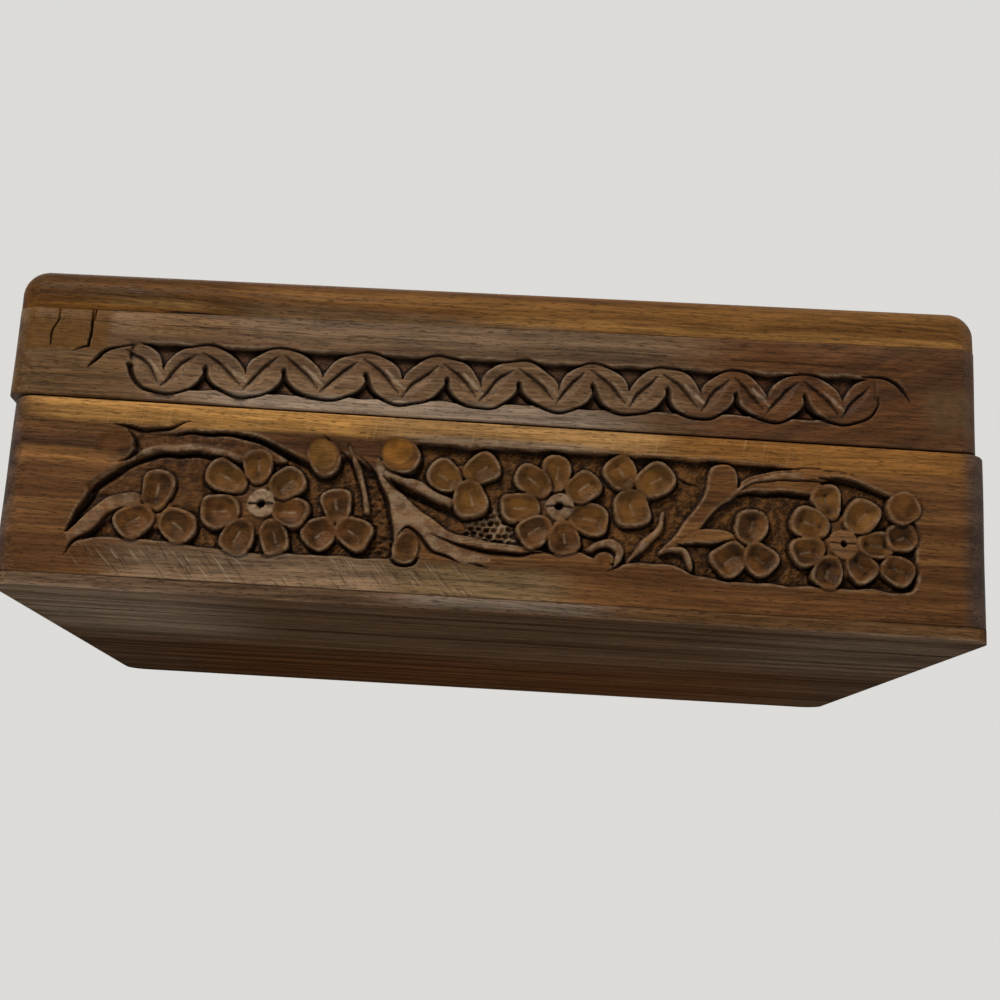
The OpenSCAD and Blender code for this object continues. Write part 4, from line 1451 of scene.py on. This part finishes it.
@dataclass
class CarvedBoard:
    """A long front board whose face is carved, as one closed mesh.

    Lengths are in millimetres. The face has close rows and columns, a pitch apart, over the
    carving, and wide ones elsewhere. top_rise is how much the upper edge climbs from end to
    end, and shade_and_wear_reach how far over the face a hollow or an edge is felt.
    """

    name: str
    node: str
    body: Body
    slot: str
    carving: FloralPanel | WaveBand
    carved_low: float
    carved_high: float
    carved_left: float
    carved_right: float
    pitch: float
    top_rise: float = 0.0
    corner: float = 4.0
    corner_steps: int = 8
    low_edge: float = 0.3
    high_edge: float = 0.3
    wide: float = 0.7
    # How far the painted shade of hollows and the pale wear with painted highlight of edges reach.
    shade_and_wear_reach: float = 0.42
    crease_angle: float = 50.0

    def build(self) -> bpy.types.Object:
        """Carves the board.

        Returns:
            The piece.
        """
        low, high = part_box(self.node)
        left, right = low.x / MM, high.x / MM
        front, back = low.y / MM, high.y / MM
        bottom, top = low.z / MM, high.z / MM - self.top_rise / 2
        middle = (left + right) / 2
        columns = self.spaced(left + self.corner, right - self.corner, self.carved_left, self.carved_right)
        ceiling = top - self.high_edge - self.top_rise
        rows = self.spaced(bottom + self.low_edge, ceiling, self.carved_low, self.carved_high)
        steps = self.corner_steps
        arc = np.linspace(0, math.pi / 2, steps + 1)
        round_rows = 1 - np.cos(arc[::2])
        inset = 1 - np.sin(arc[::2])[:-1]
        lower, upper = bottom + self.low_edge * round_rows[:-1], top - self.high_edge * round_rows[:-1]
        up = np.concatenate([lower, rows, upper[::-1]])
        insets = np.concatenate([self.low_edge * inset, np.zeros(len(rows)), self.high_edge * inset[::-1]])
        turn = np.concatenate([np.pi / 2 - arc[:-1], np.zeros(len(columns)), arc[1:]])
        centre = np.concatenate([np.full(steps, columns[0]), columns, np.full(steps, columns[-1])])
        side = np.concatenate([-np.ones(steps), np.zeros(len(columns)), np.ones(steps)])
        across = centre + side * self.corner * np.sin(turn)
        x, z = np.meshgrid(across, up)
        bend_from = up[len(round_rows) - 1 + len(rows) - 1] - 0.5
        share = np.clip((z - bend_from) / (top - bend_from), 0, 1)
        z = z + share * self.top_rise * (x - middle) / (right - left)
        stray_x, stray_z = self.stray(x, z, (1.4, 2.3, 0.7, 2.9)), self.stray(z, x, (1.5, 2.6, 0.8, 3.1))
        relief = Relief(x + stray_x, z + stray_z)
        self.carving.carve(relief)
        # Paints shade into the hollows and pale wear with painted highlight onto the edges.
        relief.age(self.shade_and_wear_reach, self.pitch)
        depth = insets[:, None] - relief.height + self.unevenness(x, z)
        points_x = centre + side * (self.corner - depth) * np.sin(turn)
        points_y = front + self.corner - (self.corner - depth) * np.cos(turn)
        return self.solid((points_x, points_y, z), relief, insets, (left, right, back))

    def spaced(self, start: float, end: float, close_start: float, close_end: float) -> np.ndarray:
        """Spaces lines closely over the carving and widely beside it.

        Args:
            start: The first line.
            end: The last line.
            close_start: Where the close lines start.
            close_end: Where the close lines end.

        Returns:
            The places of the lines.
        """
        first = np.linspace(start, close_start, max(2, int((close_start - start) / self.wide) + 1))
        close = np.linspace(close_start, close_end, int((close_end - close_start) / self.pitch) + 1)
        last = np.linspace(close_end, end, max(2, int((end - close_end) / self.wide) + 1))
        return np.concatenate([first[:-1], close, last[1:]])

    def stray(self, along: np.ndarray, other: np.ndarray, waves: tuple[float, ...]) -> np.ndarray:
        """Gives how far the carver's hand strays along an axis, in millimetres.

        Args:
            along: The places on the axis.
            other: The places on the other axis.
            waves: The lengths of the slow wave, of its bend, and of the quick wave twice.

        Returns:
            How far each place is moved.
        """
        slow, bend, quick, drift = waves
        wave = 0.13 * np.sin(along / slow + 2.0 * np.sin(other / bend))
        return wave + 0.07 * np.sin(other / quick + along / drift)

    def unevenness(self, x: np.ndarray, z: np.ndarray) -> np.ndarray:
        """Gives the slight waves that hand planing leaves, in millimetres, never outwards."""
        wave = np.sin(x / 11.0 + 0.7 * np.sin(z / 5.0)) + np.sin(x / 4.7 + z / 3.1)
        return 0.02 * (2.0 + wave)

    def solid(
        self, face: Sequence[np.ndarray], relief: Relief, insets: np.ndarray, ends: Place
    ) -> bpy.types.Object:
        """Closes the carved face into a board.

        Args:
            face: X, Y and Z of each place on the face.
            relief: The carved face, for its masks.
            insets: How far each row is drawn in for the rounded edges.
            ends: The left end, the right end and the back of the board.

        Returns:
            The piece.
        """
        x, y, z = face
        left, right, back = ends
        rows, columns = x.shape
        loop_x = np.column_stack([x, right - insets, left + insets])
        loop_y = np.column_stack([y, np.full(rows, back), np.full(rows, back)])
        loop_z = np.column_stack([z, z[:, -1], z[:, 0]])
        count = columns + 2
        points = np.stack([loop_x, loop_y, loop_z], axis=-1).reshape(-1, 3) * MM
        row = np.arange(rows - 1)[:, None] * count
        here = np.arange(count)[None, :]
        beside = (here + 1) % count
        corners = [row + here, row + beside, row + count + beside, row + count + here]
        quads = np.stack(corners, axis=-1).reshape(-1, 4)
        lower_cap = list(range(count - 1, -1, -1))
        upper_cap = list(range((rows - 1) * count, rows * count))
        mesh = bpy.data.meshes.new(self.name)
        mesh.from_pydata(points.tolist(), [], quads.tolist() + [lower_cap, upper_cap])
        for name in MASKS:
            values = np.zeros((rows, count), np.float32)
            values[:, :columns] = getattr(relief, name)
            mesh.attributes.new(name, "FLOAT", "POINT").data.foreach_set("value", values.ravel())
        mesh.validate()
        piece = bpy.data.objects.new(self.name, mesh)
        bpy.context.scene.collection.objects.link(piece)
        pick(piece)
        bpy.ops.object.shade_smooth_by_angle(angle=math.radians(self.crease_angle))
        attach(piece, self.body.value)
        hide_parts(self.node)
        return piece


@dataclass
class PlainBoard:
    """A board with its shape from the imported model, with softened edges."""

    name: str
    node: str
    body: Body
    slot: str
    edge: float = 0.06 * MM
    merge_distance: float = 0.01 * MM
    flat_angle: float = 0.5
    crease_angle: float = 35.0

    def build(self) -> bpy.types.Object:
        """Copies the node, merges its corners and softens its edges.

        Returns:
            The piece.
        """
        pick(frame["nodes"][self.node])
        bpy.ops.object.duplicate()
        piece = bpy.context.view_layer.objects.active
        piece.name = self.name
        piece.data.name = self.name
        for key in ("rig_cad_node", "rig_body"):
            if key in piece:
                del piece[key]
        piece.parent = None
        bpy.ops.object.mode_set(mode="EDIT")
        bpy.ops.mesh.select_all(action="SELECT")
        bpy.ops.mesh.remove_doubles(threshold=self.merge_distance)
        bpy.ops.mesh.dissolve_limited(angle_limit=math.radians(self.flat_angle))
        bpy.ops.object.mode_set(mode="OBJECT")
        bevel = piece.modifiers.new("softened_edges", "BEVEL")
        bevel.width = self.edge
        bevel.segments = 2
        bevel.limit_method = "ANGLE"
        bevel.angle_limit = math.radians(self.crease_angle)
        bpy.ops.object.modifier_apply(modifier=bevel.name)
        bpy.ops.object.shade_smooth_by_angle(angle=math.radians(self.crease_angle))
        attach(piece, self.body.value)
        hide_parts(self.node)
        return piece


def dress(piece: bpy.types.Object, material: bpy.types.Material) -> None:
    """Gives a piece one material.

    Args:
        piece: The piece.
        material: The material.
    """
    piece.data.materials.clear()
    piece.data.materials.append(material)
    report(piece)


class Finishes:
    """The woods and the brass of the box."""

    def __init__(self) -> None:
        """Builds the shared effects and the materials."""
        groups = NodeGroups()
        warm, brown, dark = (0.138, 0.062, 0.021), (0.080, 0.034, 0.0115), (0.028, 0.011, 0.005)
        crack, sanded = (0.006, 0.003, 0.002), (0.022, 0.013, 0.007)
        self.base_wall = WoodFinish(
            "carved_rosewood_base", warm, brown, dark, carved=True,
            marks=(
                Marks(Patch(sanded, -64, 4, 0.5, 6.8, 1, 2, 0.6), -50),
                # Pale lines over the sanding scratches: the scratches are real, their pale colour is a
                # painted glint.
                Marks(Patch((0.36, 0.28, 0.20), -64, -2, 0.5, 6.8, 1, 2, 0.45), -47, -0.5),
                Marks(Patch((0.50, 0.30, 0.13), -62, 50, 25.8, 31, 0.6, 1, 0.22), 82, -0.3),
                Marks(Patch(sanded, -58, -46, 10, 27, 2, 2, 0.3), -44),
            ),
            patches=(
                # The two greyish patches of the lower band are painted sheen over the sanded wood.
                Patch((0.180, 0.115, 0.068), -58, -14, 0.2, 7.2, 1.2, 2, 0.9),
                Patch((0.140, 0.090, 0.044), -16, 10, 0.2, 7.2, 1.2, 2, 0.9),
                Patch((0.090, 0.038, 0.013), 18, 78, 0, 8, 2, 3, 0.6),
                Patch((0.350, 0.175, 0.048), -72, -20, 26.0, 31, 0.6, 1.5),
                Patch((0.270, 0.145, 0.052), -20, 26, 26.2, 31, 0.7, 1.5),
                Patch((0.160, 0.070, 0.018), 26, 73, 25.4, 31, 0.8, 2),
                Patch((0.200, 0.140, 0.092), -14, 14, 25.9, 27.0, 0.4, 0.8, 0.8),
                Patch((0.210, 0.095, 0.028), -80, -56, 19.5, 21.5, 0.7, 1.5, 0.7),
                Patch((0.170, 0.076, 0.022), -80, -56, 24.2, 25.6, 0.6, 1.5, 0.6),
                Patch((0.042, 0.018, 0.009), -80, -60, 22, 23.8, 0.8, 1.5, 0.7),
                Patch((0.060, 0.042, 0.036), -80, -74, 0, 31, 1.2, 1.5, 0.8, fade=1.5),
                Patch((0.045, 0.030, 0.024), 72, 80, 0, 31, 1.2, 1.5, 0.8, fade=1.5),
                Patch((0.150, 0.115, 0.090), -10, 14, 0.1, 1.9, 0.3, 0.5, 0.8),
            ),
            glow=(
                Patch((0.150, 0.068, 0.016), -46, -30, 15.5, 22, 1, 2, 0.6, fade=2),
                Patch((0.150, 0.068, 0.016), -12, 27, 15.5, 26, 1, 2, 0.6, fade=2),
                Patch((0.180, 0.080, 0.018), 45, 60, 13.5, 22, 1, 2, 0.6, fade=2),
                Patch((0.200, 0.082, 0.014), -19, -13, 21.5, 27, 0.3, 0.3, 0.95, fade=0.3),
                Patch((0.150, 0.070, 0.016), -30, -25, 20.2, 26, 0.3, 0.3, 0.95, fade=0.3),
            ),
        ).material(groups)
        self.rail = WoodFinish(
            "carved_rosewood_rail", (0.150, 0.088, 0.046), (0.090, 0.049, 0.025), (0.032, 0.015, 0.008),
            # The pale colour set here is for wear and painted highlight.
            carved=True, waviness=0.007, ground=(0.040, 0.015, 0.008), pale_wear_and_highlight=(0.30, 0.225, 0.155),
            swirl=Patch((0.050, 0.020, 0.0070), 30, 80, 28, 48, 5, 4, 0.95, fade=9),
            patches=(
                Patch((0.215, 0.158, 0.115), -46, 18, 29, 32.4, 0.6, 1.5, 0.85, fade=8),
                Patch((0.104, 0.066, 0.039), -40, 25, 40.5, 46, 1, 2, 0.75, fade=8),
                Patch((0.095, 0.050, 0.019), -80, -58, 29, 37, 1, 3, 0.8, fade=3),
                Patch((0.100, 0.052, 0.020), -58, -44, 40, 46, 1, 3, 0.7, fade=5),
                Patch((0.104, 0.047, 0.011), -75, -62, 37.2, 46.0, 0.5, 2, 0.95, filler=True, fade=1),
                Patch((0.098, 0.056, 0.027), 66.5, 74, 32.5, 39.5, 1.5, 9, 0.8, filler=True, fade=1.6),
                Patch((0.050, 0.034, 0.026), 72, 80, 29, 46, 1.2, 1.5, 0.8, fade=1.5),
            ),
        ).material(groups)
        self.top = WoodFinish(
            "rosewood_top", (0.140, 0.064, 0.017), (0.088, 0.037, 0.010), (0.032, 0.013, 0.005),
            patches=(
                Patch((0.080, 0.032, 0.005), -80, -40, 43, 54, 2, 4, 0.85, fade=8),
                Patch((0.225, 0.118, 0.036), -62, -47, 44.9, 46.0, 0.4, 1.5, 0.9, fade=6),
                Patch((0.160, 0.098, 0.050), -42, 10, 43, 46.6, 0.8, 1.5, 0.6),
                Patch((0.215, 0.105, 0.030), -6, 72, 45.9, 47.6, 0.6, 2, 0.85),
                Patch((0.008, 0.004, 0.003), -53.5, -45, 44.1, 44.5, 0.1, 0.3, 0.95, fade=2),
                Patch((0.012, 0.006, 0.004), 14, 72, 45.45, 45.75, 0.12, 0.6, 0.4, fade=6),
            ),
        ).material(groups)
        self.side = WoodFinish("rosewood_ends", warm, brown, dark, axis=GrainAxis.ALONG_Y).material(groups)
        self.plain = WoodFinish("rosewood_boards", warm, brown, dark).material(groups)
        self.bottom = WoodFinish(
            "rosewood_bottom", (0.165, 0.100, 0.062), (0.108, 0.064, 0.038), (0.052, 0.028, 0.016),
            roughness=0.6, gloss=0.0,
            patches=(
                Patch((0.240, 0.175, 0.125), -80, -44, -56, -10, 10, 8, 0.8, plan=True, fade=12),
                Patch((0.155, 0.110, 0.076), 46, 80, -56, -10, 12, 8, 0.7, plan=True, fade=12),
                Patch((0.115, 0.042, 0.013), -60, 60, 5, 56, 20, 8, 0.8, plan=True, fade=20),
                Patch(crack, -80, -42, -34.35, -33.85, 0.12, 0.6, 0.95, plan=True, fade=4),
                Patch(crack, -80, -66, -44.2, -43.9, 0.1, 0.5, 0.9, plan=True, fade=3),
                Patch(crack, 56, 80, -36.3, -35.9, 0.1, 0.8, 0.9, plan=True, fade=4),
                Patch((0.130, 0.100, 0.078), -14, 15, 0.3, 1.9, 0.3, 0.5, 0.8),
                Patch((0.095, 0.046, 0.018), 18, 80, 0.3, 2.6, 0.3, 0.5, 0.9),
                Patch((0.085, 0.050, 0.029), -80, -16, 0.3, 2.6, 0.3, 0.5, 0.9),
                Patch((0.010, 0.006, 0.004), -76, 76, 2.02, 2.4, 0.1, 0.2, 0.7, fade=2),
            ),
        ).material(groups)
        self.hinge = BrassFinish("hinge_brass").material(groups)
        self.screw = BrassFinish("screw_brass", bright=(0.55, 0.40, 0.17), roughness=0.4).material(groups)


@dataclass
class Base:
    """The lower half of the box: the carved front wall, three plain walls and the bottom."""

    pitch: float = 0.19

    def build(self, finishes: Finishes) -> None:
        """Builds and dresses the pieces.

        Args:
            finishes: The materials.
        """
        front = CarvedBoard(
            "base_front_wall_carved", "base_front_wall", Body.BASE, "carved_base_wood", FloralPanel(),
            carved_low=4.5, carved_high=27.4, carved_left=-66, carved_right=65.4, pitch=self.pitch,
            low_edge=0.06, high_edge=0.35,
        )
        dress(front.build(), finishes.base_wall)
        for name, material, slot in (
            ("base_back_wall", finishes.plain, "base_wood"),
            ("base_left_end", finishes.side, "base_wood"),
            ("base_right_end", finishes.side, "base_wood"),
        ):
            dress(PlainBoard(name + "_board", name, Body.BASE, slot).build(), material)
        bottom = PlainBoard("base_bottom_panel_board", "base_bottom_panel", Body.BASE, "bottom_wood").build()
        dress(bottom, finishes.bottom)


@dataclass
class Lid:
    """The upper half of the box: the top board, the carved front rail and three plain rails."""

    pitch: float = 0.15
    rise: float = 3.0

    def build(self, finishes: Finishes) -> None:
        """Builds and dresses the pieces.

        Args:
            finishes: The materials.
        """
        front = CarvedBoard(
            "lid_front_rail_carved", "lid_front_rail", Body.LID, "carved_rail_wood", WaveBand(),
            carved_low=31, carved_high=42.4, carved_left=-72, carved_right=64.5, pitch=self.pitch,
            top_rise=self.rise, low_edge=0.3, high_edge=0.04,
        )
        dress(front.build(), finishes.rail)
        for name, material, slot in (
            ("lid_top_panel", finishes.top, "lid_top_wood"),
            ("lid_back_rail", finishes.plain, "rail_wood"),
            ("lid_left_rail", finishes.side, "rail_wood"),
            ("lid_right_rail", finishes.side, "rail_wood"),
        ):
            dress(PlainBoard(name + "_board", name, Body.LID, slot).build(), material)


@dataclass
class Hinges:
    """The two butt hinges with their pins and screws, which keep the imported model's shapes."""

    def build(self, finishes: Finishes) -> None:
        """Dresses the pieces.

        Args:
            finishes: The materials.
        """
        for name, node in frame["nodes"].items():
            if "hinge" in name:
                dress(node, finishes.screw if "screw" in name else finishes.hinge)


@dataclass
class Studio:
    """The floor, the background, the lamps and the camera."""

    camera_place: Place = (-0.00685, -0.27433, -0.03478)
    camera_pitch: float = 13.33
    camera_yaw: float = -1.74
    camera_roll: float = 3.13
    lens: float = 53.34
    sensor: float = 36.0
    clip_start: float = 0.01
    pale: Colour = (0.80, 0.79, 0.77)
    seen_strength: float = 0.9
    light_strength: float = 0.12
    floor_size: float = 6.0
    floor_level: float = -0.6 * MM
    aim: Place = (0.0, -0.02, 0.03)

    def build(self) -> None:
        """Sets up the studio."""
        self.floor()
        self.world()
        self.lamps()
        self.camera()
        bpy.context.scene.view_settings.view_transform = "Standard"

    def floor(self) -> None:
        """Adds the pale floor, which shows from above only and lets light through to the bottom."""
        deselect_all()
        bpy.ops.mesh.primitive_plane_add(size=self.floor_size, location=(0, 0, self.floor_level))
        plane = bpy.context.view_layer.objects.active
        plane.name = "floor"
        made, sheet = blank_material("pale_floor")
        path = sheet.add("ShaderNodeLightPath").outputs
        under = sheet.add("ShaderNodeNewGeometry").outputs["Backfacing"]
        place = sheet.add("ShaderNodeTexCoord").outputs["Object"]
        cloud = sheet.ramp(sheet.noise(place, 3.0), 0.3, 0.7)
        colour = sheet.mix(cloud, shade(self.pale, 0.97), self.pale)
        paint = sheet.add("ShaderNodeBsdfDiffuse", {"Color": colour})
        clear = sheet.add("ShaderNodeBsdfTransparent")
        seen = sheet.math("MULTIPLY", path["Is Camera Ray"], sheet.math("SUBTRACT", 1.0, under))
        either = sheet.add("ShaderNodeMixShader", {0: seen, 1: clear.outputs[0], 2: paint.outputs[0]})
        sheet.add("ShaderNodeOutputMaterial", {"Surface": either.outputs[0]})
        plane.data.materials.append(made)

    def world(self) -> None:
        """Makes the background pale where it is seen, mirrored or looked through, and dim as a light."""
        world = bpy.data.worlds.new("studio")
        bpy.context.scene.world = world
        world.use_nodes = True
        world.node_tree.nodes.clear()
        sheet = NodeSheet(world.node_tree)
        path = sheet.add("ShaderNodeLightPath").outputs
        seen = sheet.math("MAXIMUM", path["Is Camera Ray"], path["Is Glossy Ray"])
        seen = sheet.math("MAXIMUM", seen, path["Is Transmission Ray"])
        more = self.seen_strength - self.light_strength
        strength = sheet.math("MULTIPLY_ADD", seen, more, self.light_strength)
        background = sheet.add("ShaderNodeBackground", {"Color": self.pale, "Strength": strength})
        sheet.add("ShaderNodeOutputWorld", {"Surface": background.outputs[0]})

    def lamp(self, name: str, place: Place, size: float, power: float, tint: Colour) -> None:
        """Adds a soft lamp that points at the middle of the box.

        Args:
            name: The lamp's name.
            place: Where it stands.
            size: The side of its square.
            power: Its power in watts.
            tint: Its colour.
        """
        data = bpy.data.lights.new(name, "AREA")
        data.shape = "SQUARE"
        data.size = size
        data.energy = power
        data.color = tint
        made = bpy.data.objects.new(name, data)
        bpy.context.scene.collection.objects.link(made)
        made.location = place
        aim = Vector(self.aim) - Vector(place)
        made.rotation_euler = aim.to_track_quat("-Z", "Y").to_euler()

    def lamps(self) -> None:
        """Adds the key lamp above the front, and weaker ones at the side, the back and below."""
        self.lamp("key", (-0.26, -0.42, 0.46), 0.16, 4.8, (1.0, 0.96, 0.90))
        self.lamp("side", (0.75, -0.25, 0.30), 0.4, 2.0, (1.0, 0.98, 0.95))
        self.lamp("back", (-0.3, 0.8, 0.6), 0.6, 2.5, (1.0, 0.98, 0.95))
        self.lamp("low", (0.05, -0.35, -0.45), 0.4, 1.4, (1.0, 0.95, 0.88))

    def camera(self) -> None:
        """Adds the camera at the photograph's viewing angle."""
        data = bpy.data.cameras.new("camera")
        data.sensor_width = self.sensor
        data.lens = self.lens
        data.clip_start = self.clip_start
        made = bpy.data.objects.new("camera", data)
        bpy.context.scene.collection.objects.link(made)
        turn = Matrix.Rotation(math.radians(self.camera_yaw), 4, "Z")
        turn = turn @ Matrix.Rotation(math.radians(90 + self.camera_pitch), 4, "X")
        turn = turn @ Matrix.Rotation(math.radians(self.camera_roll), 4, "Z")
        made.matrix_world = Matrix.Translation(self.camera_place) @ turn
        bpy.context.scene.camera = made


def main() -> None:
    """Builds the box and the studio."""
    logging.basicConfig(level=logging.INFO, format="%(message)s")
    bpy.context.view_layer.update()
    finishes = Finishes()
    Base().build(finishes)
    Lid().build(finishes)
    Hinges().build(finishes)
    Studio().build()


if __name__ == "__main__":
    main()
